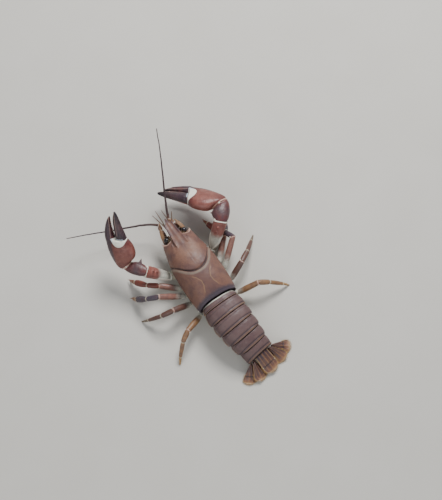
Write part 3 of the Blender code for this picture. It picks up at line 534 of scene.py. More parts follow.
class Graph:
    """A material's nodes, wired by short calls."""

    def __init__(self, name: str) -> None:
        """Starts a material with one Principled shader.

        Args:
            name: Name of the material.
        """
        self.result = bpy.data.materials.new(name)
        self.result.use_nodes = True
        self.tree = self.result.node_tree
        self.shader = next(n for n in self.tree.nodes if n.type == "BSDF_PRINCIPLED")
        self.place = self.node("ShaderNodeTexCoord").outputs["Object"]

    def node(self, kind: str, **settings: object) -> bpy.types.Node:
        """Adds a node and sets its properties.

        Args:
            kind: Blender's name of the node's kind.
            settings: Values of its properties.

        Returns:
            The node.
        """
        made = self.tree.nodes.new(kind)
        for name, value in settings.items():
            setattr(made, name, value)
        return made

    def feed(self, socket: bpy.types.NodeSocket, value: object) -> None:
        """Links a socket, or sets its value.

        Args:
            socket: The input to feed.
            value: Another node's output, a number or a colour.
        """
        if isinstance(value, bpy.types.NodeSocket):
            self.tree.links.new(value, socket)
        elif isinstance(value, tuple) and len(value) == 3 and socket.type == "RGBA":
            socket.default_value = (*value, 1.0)
        else:
            socket.default_value = value

    def maths(self, operation: str, *values: object) -> bpy.types.NodeSocket:
        """One step of arithmetic.

        Args:
            operation: Blender's name of it.
            values: Its inputs, as sockets or numbers.

        Returns:
            The result's socket.
        """
        made = self.node("ShaderNodeMath", operation=operation)
        for socket, value in zip(made.inputs, values):
            self.feed(socket, value)
        return made.outputs[0]

    def mix(self, share: object, first: object, second: object) -> bpy.types.NodeSocket:
        """Colour between two colours.

        Args:
            share: How much of the second one.
            first: Colour at 0.
            second: Colour at 1.

        Returns:
            The colour's socket.
        """
        made = self.node("ShaderNodeMix", data_type="RGBA")
        for index, value in ((0, share), (6, first), (7, second)):
            self.feed(made.inputs[index], value)
        return made.outputs[2]

    def span(self, value: object, low: float, high: float) -> bpy.types.NodeSocket:
        """Smooth share from 0 at low to 1 at high.

        Args:
            value: Number to judge.
            low: Where the share leaves 0.
            high: Where it reaches 1.

        Returns:
            The share's socket.
        """
        made = self.node("ShaderNodeMapRange", interpolation_type="SMOOTHSTEP")
        for index, given in enumerate((value, low, high, 0.0, 1.0)):
            self.feed(made.inputs[index], given)
        return made.outputs[0]

    def noise(self, place: object, size: float, detail: float = 4.0) -> bpy.types.NodeSocket:
        """Soft noise.

        Args:
            place: Where to read it.
            size: Width of its blotches, in millimetres.
            detail: How many finer layers it has.

        Returns:
            The noise's socket, from 0 to 1.
        """
        made = self.node("ShaderNodeTexNoise")
        self.feed(made.inputs["Vector"], place)
        made.inputs["Scale"].default_value = 1 / (size * MM)
        made.inputs["Detail"].default_value = detail
        return made.outputs["Fac"]

    def cells(self, place: object, size: float) -> bpy.types.NodeSocket:
        """Scattered cells.

        Args:
            place: Where to read them.
            size: Their width, in millimetres.

        Returns:
            Socket of the distance to a cell's middle.
        """
        made = self.node("ShaderNodeTexVoronoi")
        self.feed(made.inputs["Vector"], place)
        made.inputs["Scale"].default_value = 1 / (size * MM)
        return made.outputs["Distance"]

    def attribute(self, name: str) -> bpy.types.NodeSocket:
        """Value of a mask that the mesh carries."""
        return self.node("ShaderNodeAttribute", attribute_name=name).outputs["Fac"]

    def mirrored(self) -> bpy.types.NodeSocket:
        """Folds the animal's two sides together, for an even pattern.

        Returns:
            The place's socket.
        """
        split = self.node("ShaderNodeSeparateXYZ")
        self.feed(split.inputs[0], self.place)
        across = self.maths("ABSOLUTE", self.maths("SUBTRACT", split.outputs[0], ORIGIN.x))
        joined = self.node("ShaderNodeCombineXYZ")
        for socket, value in zip(joined.inputs, (across, split.outputs[1], split.outputs[2])):
            self.feed(socket, value)
        return joined.outputs[0]

    def ramp(self, value: object, stops: Sequence[tuple[float, Colour]]) -> bpy.types.NodeSocket:
        """Colour along a row of stops.

        Args:
            value: Where on the row.
            stops: Places between 0 and 1 with their colours.

        Returns:
            The colour's socket.
        """
        made = self.node("ShaderNodeValToRGB")
        bar = made.color_ramp
        while len(bar.elements) < len(stops):
            bar.elements.new(0.5)
        for element, (place, colour) in zip(bar.elements, stops):
            element.position = place
            element.color = (*colour, 1.0)
        self.feed(made.inputs[0], value)
        return made.outputs[0]


@dataclass(frozen=True)
class Marking:
    """A colour laid where a mask of the mesh is strong."""

    mask: str
    colour: Colour
    strength: float = 1.0
    ragged: float = 0.0
    low: float = 0.25
    high: float = 0.75


@dataclass(frozen=True)
class Finish:
    """A mottled, pitted shell with markings."""

    name: str
    stops: tuple[tuple[float, Colour], ...]
    shade: Colour
    fleck: Colour
    markings: tuple[Marking, ...] = ()
    shading: float = 0.55
    flecks: float = 0.25
    fleck_size: float = 0.9
    mottle: float = 5.0
    roughness: tuple[float, float] = (0.34, 0.56)
    pit_size: float = 0.7
    pit_depth: float = 0.035
    coat: float = 0.12
    flesh: float = 0.04
    symmetric: bool = False

    def colour(self, graph: Graph) -> bpy.types.NodeSocket:
        """Wires the shell's colour.

        Args:
            graph: The material in the making.

        Returns:
            The colour's socket.
        """
        place = graph.mirrored() if self.symmetric else graph.place
        if len(self.stops) > 1:
            wander = graph.maths("MULTIPLY", graph.maths("SUBTRACT", graph.noise(place, 1.8), 0.5), 0.16)
            result = graph.ramp(graph.maths("ADD", graph.attribute("along"), wander), self.stops)
        else:
            result = graph.mix(0.0, self.stops[0][1], self.stops[0][1])
        blotches = graph.span(graph.noise(place, self.mottle), 0.42, 0.66)
        result = graph.mix(graph.maths("MULTIPLY", blotches, self.shading), result, self.shade)
        fine = graph.span(graph.noise(graph.place, 0.55, 2.0), 0.35, 0.75)
        result = graph.mix(graph.maths("MULTIPLY", fine, 0.28), result, self.shade)
        specks = graph.span(graph.cells(graph.place, self.fleck_size), 0.34, 0.08)
        clusters = graph.span(graph.noise(graph.place, 2.2), 0.4, 0.65)
        specks = graph.maths("MULTIPLY", specks, graph.maths("MULTIPLY", clusters, self.flecks))
        result = graph.mix(specks, result, self.fleck)
        for marking in self.markings:
            share = graph.attribute(marking.mask)
            if marking.ragged:
                jitter = graph.maths("SUBTRACT", graph.noise(graph.place, 0.9), 0.5)
                share = graph.maths("ADD", share, graph.maths("MULTIPLY", jitter, marking.ragged))
            share = graph.span(share, marking.low, marking.high)
            share = graph.maths("MULTIPLY", share, marking.strength)
            result = graph.mix(share, result, marking.colour)
        return result

    def material(self) -> bpy.types.Material:
        """The finish as a material, made once.

        Returns:
            The material.
        """
        made = bpy.data.materials.get(self.name)
        if made:
            return made
        graph = Graph(self.name)
        graph.feed(graph.shader.inputs["Base Color"], self.colour(graph))
        gloss = graph.node("ShaderNodeMapRange")
        low, high = self.roughness
        for index, value in enumerate((graph.noise(graph.place, 2.4), 0.3, 0.7, low, high)):
            graph.feed(gloss.inputs[index], value)
        graph.feed(graph.shader.inputs["Roughness"], gloss.outputs[0])
        pits = graph.span(graph.cells(graph.place, self.pit_size), 0.05, 0.42)
        rough = graph.maths("MULTIPLY", graph.noise(graph.place, 0.3, 3.0), 0.5)
        bump = graph.node("ShaderNodeBump")
        bump.inputs["Distance"].default_value = self.pit_depth * MM
        graph.feed(bump.inputs["Height"], graph.maths("ADD", pits, rough))
        graph.feed(graph.shader.inputs["Normal"], bump.outputs[0])
        constants = {
            "Coat Weight": self.coat,
            "Coat Roughness": 0.25,
            "Subsurface Weight": self.flesh,
            "Subsurface Scale": 1.2 * MM,
            "Subsurface Radius": (1.0, 0.45, 0.3),
        }
        for name, value in constants.items():
            graph.shader.inputs[name].default_value = value
        return graph.result


class Tones:
    """Colours of the animal, read from the photograph."""

    BROWN = tint(117, 82, 68)
    TAWNY = tint(150, 108, 72)
    PURPLE = tint(80, 56, 58)
    SLATE = tint(62, 54, 66)
    BLACKISH = tint(36, 28, 34)
    SAND = tint(170, 138, 98)
    BRICK = tint(130, 66, 52)
    WINE = tint(98, 46, 42)
    PLUM = tint(60, 40, 50)
    IVORY = tint(238, 234, 220)
    BLUE_WHITE = tint(186, 204, 216)
    ROSE = tint(214, 176, 158)
    STONE = tint(176, 176, 158)
    PALE = tint(206, 206, 192)
    SCARLET = tint(160, 58, 38)
    ORANGE = tint(140, 90, 68)
    CREAM = tint(204, 194, 168)
    AMBER = tint(180, 138, 80)
    OLIVE = tint(104, 90, 70)
    UMBER = tint(92, 62, 50)
    MAUVE = tint(98, 76, 74)
    LASH = tint(66, 48, 46)
    HONEY = tint(138, 102, 68)
    SALMON = tint(140, 96, 82)
    CLAY = tint(134, 98, 80)
    RUSSET = tint(133, 80, 70)
    ROSEWOOD = tint(150, 92, 82)


def rim_mark(colour: Colour, strength: float = 0.85) -> Marking:
    """Pale rim of a joint."""
    return Marking("rim", colour, strength, 0.25, 0.35, 0.7)


CARAPACE = Finish(
    "carapace shell",
    ((0.0, Tones.BROWN),),
    Tones.PURPLE,
    Tones.TAWNY,
    (
        Marking("head", Tones.CLAY, 0.6, 1.5, 0.35, 1.1),
        Marking("areola", Tones.PURPLE, 0.4, 0.6, 0.1, 0.9),
        Marking("flank", Tones.PURPLE, 0.5, 0.8, 0.1, 0.9),
        Marking("behind_groove", Tones.STONE, 0.24, 0.7, 0.2, 1.0),
        # painted shade: near-black laid along the neck's groove, standing in for the shade in the recess
        Marking("groove", Tones.BLACKISH, 0.75, 0.2),
        Marking("lines", Tones.SAND, 0.36, 0.5, 0.3, 0.9),
        Marking("rostrum", Tones.PLUM, 0.6, 0.5, 0.2, 0.9),
        Marking("orbit", Tones.ROSE, 0.75, 0.3),
        Marking("rear", Tones.SLATE, 0.9, 0.6, 0.15, 0.95),
        Marking("floor", Tones.STONE, 0.8, 0.3),
    ),
    flecks=0.35,
    roughness=(0.47, 0.68),
    coat=0.04,
    symmetric=True,
)
ABDOMEN = Finish(
    "abdomen shell",
    ((0.0, Tones.PURPLE), (0.3, Tones.MAUVE), (0.7, Tones.MAUVE), (0.95, Tones.PURPLE)),
    Tones.PURPLE,
    Tones.TAWNY,
    (
        Marking("plate", Tones.TAWNY, 0.6, 0.9, 0.3, 0.9),
        Marking("fore_edge", Tones.PALE, 0.8, 0.5, 0.25, 0.8),
        Marking("pale_line", Tones.SAND, 0.25, 0.7, 0.3, 0.9),
        # painted shadow: near-black laid in the seams, standing in for the shadow where each ring's rim
        # overlaps the next
        Marking("seam", Tones.BLACKISH, 0.75, 0.3),
        Marking("belly", Tones.CREAM, 0.75, 0.3),
    ),
    shading=0.6,
    flecks=0.3,
    roughness=(0.44, 0.66),
    coat=0.05,
    symmetric=True,
)
FAN = Finish(
    "tail fan shell",
    ((0.0, Tones.PLUM), (0.4, Tones.UMBER), (0.8, Tones.BROWN), (1.0, Tones.TAWNY)),
    Tones.PLUM,
    Tones.SAND,
    (
        Marking("rib", Tones.TAWNY, 0.5, 0.4, 0.2, 0.9),
        # painted shade: near-black laid in the sunk seam across the blade, where shade falls in the groove
        Marking("seam", Tones.BLACKISH, 0.7, 0.2),
        Marking("edge", Tones.SAND, 0.6, 0.5, 0.2, 0.9),
        Marking("belly", Tones.CREAM, 0.6, 0.3),
    ),
    flesh=0.1,
)
BELLY = Finish(
    "underside shell",
    ((0.0, Tones.CREAM),),
    Tones.STONE,
    Tones.ROSE,
    # painted shade: olive laid in the keel's sunk grooves, where shade falls
    (Marking("groove", Tones.OLIVE, 0.7, 0.3),),
    pit_depth=0.03,
    flesh=0.12,
)
PALM = Finish(
    "claw shell",
    (
        (0.0, Tones.WINE),
        (0.15, Tones.RUSSET),
        (0.38, Tones.RUSSET),
        (0.46, Tones.WINE),
        (0.53, Tones.PLUM),
        (1.0, Tones.BLACKISH),
    ),
    Tones.WINE,
    Tones.ROSE,
    (
        # partly painted shade: the dark plum outer edge is part the claw's own dark margin and part the
        # shade where the palm curves away from the light
        Marking("outer", Tones.PLUM, 0.92, 0.6, 0.15, 0.95),
        Marking("belly", Tones.SCARLET, 0.8, 0.4),
        # painted highlight: pale rose along the raised ridge, standing in for light caught on it
        Marking("ridge", Tones.ROSE, 0.22, 0.6, 0.3, 0.9),
        rim_mark(Tones.ROSE),
        Marking("patch", Tones.IVORY, 0.97, 0.3, 0.36, 0.62),
        Marking("lobe", Tones.BLUE_WHITE, 0.8, 0.3, 0.36, 0.7),
    ),
    flecks=0.16,
    fleck_size=0.8,
    mottle=3.4,
)
FINGER = Finish(
    "claw finger shell",
    ((0.0, Tones.PLUM), (0.2, Tones.PLUM), (0.6, Tones.PURPLE), (1.0, Tones.BLACKISH)),
    Tones.BLACKISH,
    Tones.ROSE,
    (
        Marking("belly", Tones.SCARLET, 0.8, 0.4),
        # painted highlight: pale rose along the raised ridge, standing in for light caught on it
        Marking("ridge", Tones.ROSE, 0.3, 0.6, 0.3, 0.9),
        Marking("patch", Tones.BLUE_WHITE, 0.7, 0.3, 0.38, 0.62),
    ),
    flecks=0.14,
    fleck_size=0.8,
    mottle=3.0,
)
CARPUS = Finish(
    "forearm shell",
    ((0.0, Tones.WINE), (0.35, Tones.PURPLE), (0.8, Tones.WINE), (1.0, Tones.BRICK)),
    Tones.PLUM,
    Tones.ROSE,
    (Marking("belly", Tones.SCARLET, 0.7, 0.4), rim_mark(Tones.ROSE, 0.2)),
    flecks=0.2,
    fleck_size=0.8,
    mottle=3.0,
)
MERUS = Finish(
    "upper arm shell",
    (
        (0.0, Tones.PALE),
        (0.42, Tones.PALE),
        (0.6, Tones.ROSEWOOD),
        (0.85, Tones.ROSEWOOD),
        (1.0, Tones.BRICK),
    ),
    Tones.PURPLE,
    Tones.ROSE,
    (
        Marking("base", Tones.STONE, 0.6, 0.5, 0.2, 0.9),
        # painted shade: olive on the sides outside the pale borders, standing in for a shaded lower face
        Marking("fold", Tones.OLIVE, 0.7, 0.4, 0.2, 0.9),
        Marking("belly", Tones.ORANGE, 0.7, 0.4),
        Marking("border", Tones.IVORY, 0.9, 0.3, 0.3, 0.7),
        rim_mark(Tones.IVORY, 0.95),
    ),
    shading=0.3,
    flecks=0.12,
)
HIP = Finish(
    "hip shell",
    ((0.0, Tones.CREAM), (1.0, Tones.STONE)),
    Tones.OLIVE,
    Tones.ROSE,
    (rim_mark(Tones.IVORY),),
    shading=0.3,
)


def leg_finish(name: str, upper: Colour, lower: Colour, tip: Colour) -> tuple[Finish, Finish]:
    """Finishes of a walking leg.

    Args:
        name: Start of the materials' names.
        upper: Colour of the long piece above the knee.
        lower: Colour below the knee.
        tip: Colour of the foot.

    Returns:
        Finishes of the pieces above and below the knee.
    """
    marks = (
        Marking("border", Tones.IVORY, 0.6, 0.2),
        Marking("belly", Tones.CREAM, 0.5, 0.4),
        Marking("joint", Tones.CREAM, 0.6, 0.5),
        rim_mark(Tones.ROSE, 0.6),
    )
    above = ((0.0, Tones.PALE), (0.36, Tones.PALE), (0.58, upper), (1.0, upper))
    below = ((0.0, lower), (0.7, lower), (0.8, tip), (1.0, tip))
    shared = {"shading": 0.45, "flecks": 0.12, "mottle": 2.6, "flesh": 0.1, "pit_depth": 0.03}
    return (
        Finish(f"{name} above the knee", above, Tones.PURPLE, Tones.ROSE, marks, **shared),
        Finish(f"{name} below the knee", below, Tones.PURPLE, Tones.ROSE, marks, **shared),
    )


LEG_LOOKS = {
    2: leg_finish("second leg", Tones.SALMON, Tones.BRICK, Tones.ORANGE),
    # third leg: the dark slate below the knee is painted shade, standing in for the shadow that lies on
    # that piece
    3: leg_finish("third leg", Tones.SALMON, Tones.SLATE, Tones.TAWNY),
    4: leg_finish("fourth leg", Tones.UMBER, Tones.UMBER, Tones.OLIVE),
    5: leg_finish("fifth leg", Tones.HONEY, Tones.HONEY, Tones.AMBER),
}
FEELER = Finish(
    "lash",
    ((0.0, Tones.UMBER), (0.12, Tones.LASH), (0.6, Tones.PLUM), (1.0, Tones.PLUM)),
    Tones.PLUM,
    Tones.SAND,
    (Marking("ring", Tones.BLACKISH, 0.4, 0.0),),
    shading=0.3,
    flecks=0.06,
    mottle=2.0,
    roughness=(0.5, 0.7),
    pit_depth=0.01,
    coat=0.0,
)
SMALL_FEELER = replace(
    FEELER,
    name="small lash",
    stops=((0.0, Tones.BROWN), (0.5, Tones.OLIVE), (1.0, Tones.UMBER)),
    shade=Tones.UMBER,
    markings=(Marking("ring", Tones.UMBER, 0.4, 0.0),),
)
FEELER_BASE = Finish(
    "feeler base",
    ((0.0, Tones.PURPLE), (0.5, Tones.BROWN), (1.0, Tones.TAWNY)),
    Tones.PURPLE,
    Tones.ROSE,
    (Marking("joint", Tones.IVORY, 0.6, 0.3), rim_mark(Tones.ROSE)),
    shading=0.4,
)
SCALE = Finish(
    "leaf scale",
    ((0.0, Tones.UMBER), (0.35, Tones.HONEY), (1.0, Tones.HONEY)),
    Tones.UMBER,
    Tones.SAND,
    (Marking("edge", Tones.SAND, 0.75, 0.2),),
    shading=0.5,
    flesh=0.15,
)
EYE = Finish(
    "eye glass",
    ((0.0, Tones.BLACKISH),),
    tint(8, 7, 9),
    tint(20, 18, 24),
    (Marking("stalk", Tones.OLIVE, 0.9, 0.2),),
    shading=1.0,
    flecks=0.1,
    roughness=(0.26, 0.38),
    pit_size=0.16,
    pit_depth=0.012,
    coat=0.2,
    flesh=0.0,
)
SKIN = Finish(
    "joint skin",
    ((0.0, Tones.ROSE),),
    Tones.ORANGE,
    Tones.IVORY,
    shading=0.5,
    pit_depth=0.04,
    flesh=0.2,
)
KNOB = Finish(
    "pivot knob",
    ((0.0, Tones.PALE),),
    Tones.ROSE,
    Tones.IVORY,
    shading=0.3,
    pit_depth=0.02,
    flesh=0.1,
)
BRISTLE = Finish(
    "bristles",
    ((0.0, Tones.AMBER),),
    Tones.OLIVE,
    Tones.SAND,
    shading=0.4,
    pit_depth=0.005,
)


@dataclass
class Bristles:
    """A row of fine hairs joined into one piece."""

    name: str
    radius: float = 0.045
    sides: int = 4
    seed: int = 3
    spread: float = 0.18

    def grow(self, rows: Sequence[tuple[Vector, Vector, float]], slot: Slot) -> None:
        """Makes one hair and sets a copy of it at each place.

        Args:
            rows: Root, direction and length of each hair, in the animal's millimetres.
            slot: Material slot of the record.
        """
        chance = random.Random(self.seed)
        bpy.ops.object.select_all(action="DESELECT")
        bpy.ops.mesh.primitive_cone_add(
            vertices=self.sides, radius1=self.radius * MM, radius2=self.radius * 0.2 * MM, depth=MM
        )
        first = bpy.context.active_object
        bpy.ops.transform.translate(value=(0.0, 0.0, MM / 2))
        bpy.ops.object.transform_apply(location=True, rotation=True, scale=True)
        hairs = []
        for root, way, length in rows:
            stray = Vector([chance.uniform(-self.spread, self.spread) for _ in range(3)])
            lean = (way.normalized() + stray).normalized()
            hair = first.copy()
            hair.data = first.data.copy()
            turn = lean.to_track_quat("Z", "X").to_matrix().to_4x4()
            stretch = Matrix.Scale(length * chance.uniform(0.75, 1.0), 4, (0.0, 0.0, 1.0))
            hair.data.transform(Matrix.Translation(to_row(root)) @ turn @ stretch)
            bpy.context.scene.collection.objects.link(hair)
            hairs.append(hair)
        bpy.data.objects.remove(first, do_unlink=True)
        settle(Bench.join(hairs, self.name), BRISTLE, slot, smooth=False)


@dataclass(frozen=True)
class ShieldMap:
    """Where the carapace's places lie, with its two sides folded together."""

    x: Places
    y: Places
    z: Places
    ahead: Places
    rear: Places
    line: Places
    above: Mask


@dataclass
class HeadShield:
    """The carapace with its rostrum, grooves and eye sockets."""

    voxel: float = 0.3
    groove_at: float = 19.5
    groove_sweep: float = 12.0
    lower_sweep: float = 3.0
    rear_sweep: float = -1.9
    groove_slant: float = 0.83
    squareness: float = 1.125
    line_places: tuple[float, ...] = (0.0, 2.0, 5.0, 9.0, 12.0, 15.5, 18.5)
    line_offsets: tuple[float, ...] = (10.4, 8.2, 5.2, 3.5, 3.3, 5.0, 7.5)
    outline_places: tuple[float, ...] = (0.0, 4.0, 10.0, 18.0, 26.0, 34.0, 41.0, 46.5)
    outline_widths: tuple[float, ...] = (13.6, 14.7, 15.0, 14.2, 12.7, 12.0, 11.2, 9.2)
    outline_tops: tuple[float, ...] = (24.2, 26.6, 28.8, 29.5, 29.2, 27.6, 25.0, 21.4)
    widest: float = 14.0
    floor: float = 8.5
    eye: Vector = field(default_factory=lambda: Vector((6.5, 47.4, 20.0)))
    socket: float = 3.1

    def build(self) -> None:
        """Carves, marks and dresses the shield."""
        shell = Sculpt("carapace", self.voxel, passes=4, crease=0.5)
        at = self._map(np.abs(shell.x), shell.y, shell.z)
        self._carve(shell, at)
        self._mark(shell, at)
        shell.dress(CARAPACE, Slot.CARAPACE)

    def _map(self, x: Places, y: Places, z: Places) -> ShieldMap:
        """Measures places against the shield's grooves, lines and rear edge.

        Args:
            x: Distances from the middle.
            y: Distances forward of the rear edge.
            z: Heights over the floor.

        Returns:
            The places and their distances: ahead of the neck's groove, from the rear edge and
            outside the curved lines of the back.
        """
        turn = self._turn(x, y, z)
        sweep = np.sin(turn) ** 2
        drop = np.clip((self.widest - z) / (self.widest - self.floor), 0, 1)
        bend = self.groove_sweep * sweep + self.lower_sweep * np.arcsin(drop) / (math.pi / 2)
        slant = np.sqrt(1 + (self.groove_slant * np.sin(2 * turn)) ** 2)
        ahead = (y - self.groove_at - bend) / slant
        return ShieldMap(
            x, y, z, ahead, y - self.rear_sweep * sweep, self._line(x, y), rise(z, 10.0, 12.5)
        )

    def _turn(self, x: Places, y: Places, z: Places) -> Places:
        """Angle round the shield's cross-section.

        Args:
            x: Distances from the middle.
            y: Distances forward of the rear edge.
            z: Heights over the floor.

        Returns:
            Angles from 0 on the back to a quarter turn at the widest line.
        """
        across = np.clip(x / np.interp(y, self.outline_places, self.outline_widths), 0, 1)
        tops = np.interp(y, self.outline_places, self.outline_tops)
        high = np.clip((z - self.widest) / (tops - self.widest), 0, 1)
        return np.arctan2(across**self.squareness, high**self.squareness)

    def _line(self, x: Places, y: Places) -> Places:
        """Distance from the curved lines on both sides of the back's middle.

        Args:
            x: Distances from the middle.
            y: Distances forward of the rear edge.

        Returns:
            Distances in millimetres, less than 0 between the lines.
        """
        behind, offsets, ahead = (
            np.interp(y + step, self.line_places, self.line_offsets) for step in (-0.5, 0.0, 0.5)
        )
        return (x - offsets) / np.sqrt(1 + (ahead - behind) ** 2)

    def _carve(self, shell: Sculpt, at: ShieldMap) -> None:
        """Cuts the grooves and raises the rims.

        Args:
            shell: The shield.
            at: Its places.
        """
        back = rise(at.y, 18.3, 15.8) * rise(at.z, 16.0, 19.0) * rise(at.y, 2.5, 5.5)
        crown = rise(at.y, 24.0, 27.0) * rise(at.y, 46.0, 42.0) * rise(at.z, 20.0, 23.0)
        shell.relief(stripe(at.ahead, 0.0, 0.45) * at.above, -0.28)
        shell.relief(stripe(at.ahead, -1.1, 0.6) * at.above, 0.1)
        shell.relief(stripe(at.line, 0.0, 0.3) * back, -0.12)
        shell.relief(stripe(at.rear, 1.5, 0.3) * rise(at.z, 9.0, 11.0), -0.12)
        shell.relief(stripe(at.x, 0.0, 0.3) * crown, -0.05)
        shell.grain(5.0, 0.3)
        shell.grain(1.2, 0.1)

    def _mark(self, shell: Sculpt, at: ShieldMap) -> None:
        """Stores where each colour lies.

        Args:
            shell: The shield.
            at: Its places.
        """
        back = rise(at.y, 19.2, 16.7) * rise(at.z, 15.0, 18.0)
        eye = np.linalg.norm(np.stack([at.x, at.y, at.z], axis=1) - np.array(self.eye), axis=1)
        border = rise(at.x, 1.6, 2.6) * rise(at.y, 46.0, 49.0)
        tip = rise(at.y, 54.0, 58.0) * 0.7
        dusk = stripe(at.x, 0.0, 3.0) * stripe(at.y, 37.0, 4.5) * 0.6
        front_edge = rise(at.y, 44.6, 46.2) * rise(at.x, 7.6, 8.6)
        shell.mark(
            # groove mask: where the painted shade in the neck's groove goes
            groove=stripe(at.ahead, 0.0, 0.42) * at.above,
            behind_groove=stripe(at.ahead, -1.5, 1.0) * at.above,
            lines=stripe(at.line, 0.0, 0.34) * back * rise(at.y, 2.5, 6.0),
            areola=rise(at.line, 0.4, -0.8) * back,
            head=stripe(at.y, 33.0, 7.5) * rise(at.x, 13.0, 5.0) * rise(at.z, 19.0, 24.0),
            flank=rise(at.z, 18.0, 10.5),
            rear=rise(at.rear, 5.5, 0.6),
            floor=rise(shell.normals[:, 2], -0.6, -0.9),
            rostrum=np.maximum(np.maximum(border, tip), dusk),
            orbit=np.maximum(stripe(eye, self.socket + 0.25, 0.4), front_edge),
        )


@dataclass
class Eye:
    """One stalked eye."""

    side: Side
    centre: Vector = field(default_factory=lambda: Vector((6.5, 47.4, 20.0)))
    stalk: Vector = field(default_factory=lambda: Vector((-0.72, -0.62, -0.3)))
    voxel: float = 0.12

    def build(self) -> None:
        """Rounds the eye and marks off its stalk."""
        ball = Sculpt(f"eye_{self.side.letter}", self.voxel, passes=6, crease=0.0)
        stalk = self.side.turn(self.stalk).normalized()
        depth = (ball.places - np.array(self.side.turn(self.centre))) @ np.array(stalk)
        ball.relief(stripe(depth, 0.95, 0.2), -0.12)
        ball.mark(stalk=rise(depth, 0.35, 0.75))
        ball.dress(EYE, Slot.EYE)


@dataclass
class Whip:
    """The long ringed lash of a feeler."""

    STRETCHES: ClassVar[int] = 26

    side: Side
    rings: int = 150
    root_radius: float = 0.85
    tip_radius: float = 0.27
    ring_depth: float = 0.08
    steps: int = 3

    def build(self) -> None:
        """Draws the lash along the middle of its solid and marks its rings."""
        node = f"antenna_{self.side.letter}"
        way = self._middle(node)
        count = self.rings * self.steps
        lengths = np.concatenate([[0.0], np.cumsum(np.linalg.norm(np.diff(way, axis=0), axis=1))])
        wanted = np.linspace(0.0, lengths[-1], count)
        points = np.stack([np.interp(wanted, lengths, way[:, k]) for k in range(3)], axis=1)
        bpy.ops.object.select_all(action="DESELECT")
        bpy.ops.curve.primitive_nurbs_path_add()
        lash = bpy.context.active_object
        lash.location = (0.0, 0.0, 0.0)
        curve = lash.data
        curve.splines.clear()
        spline = curve.splines.new("POLY")
        spline.points.add(count - 1)
        for k, point in enumerate(points):
            share = k / (count - 1)
            radius = self.root_radius + (self.tip_radius - self.root_radius) * share**0.8
            radius *= 1 - self.ring_depth * (k % self.steps == 0)
            spline.points[k].co = (*to_row(Vector(point)), 1.0)
            spline.points[k].radius = radius * MM
        curve.bevel_depth = 1.0
        curve.bevel_resolution = 2
        curve.use_fill_caps = True
        Bench.take(lash)
        bpy.ops.object.convert(target="MESH")
        lash = bpy.context.active_object
        lash.name = lash.data.name = f"fine_{node}"
        bpy.ops.object.mode_set(mode="EDIT")
        bpy.ops.mesh.select_all(action="SELECT")
        bpy.ops.mesh.remove_doubles(threshold=0.002 * MM)
        bpy.ops.mesh.normals_make_consistent(inside=False)
        bpy.ops.object.mode_set(mode="OBJECT")
        self._mark(lash, points)
        settle(lash, FEELER, Slot.FEELER, node)

    @staticmethod
    def _middle(node: str) -> Places:
        """Middle line of a tube's solid, from the head outwards.

        Args:
            node: The node.

        Returns:
            A point for each stretch of the tube.
        """
        places = np.unique(np.round(Solids.places(node), 3), axis=0)
        heading = np.linalg.svd(places - places.mean(axis=0), full_matrices=False)[2][0]
        order = np.argsort(places @ heading * (1.0 if heading[1] > 0 else -1.0))
        groups = np.array_split(places[order], Whip.STRETCHES)
        return np.array([group.mean(axis=0) for group in groups])

    def _mark(self, lash: bpy.types.Object, points: Places) -> None:
        """Stores how far along each place is, and where the rings' grooves are.

        Args:
            lash: The lash.
            points: The points that it was drawn through.
        """
        places = places_of(lash.data)
        nearest = np.array([np.argmin(((points - place) ** 2).sum(axis=1)) for place in places])
        ring = (nearest % self.steps == 0) * 1.0
        store(lash.data, {"along": nearest / (len(points) - 1), "ring": ring})


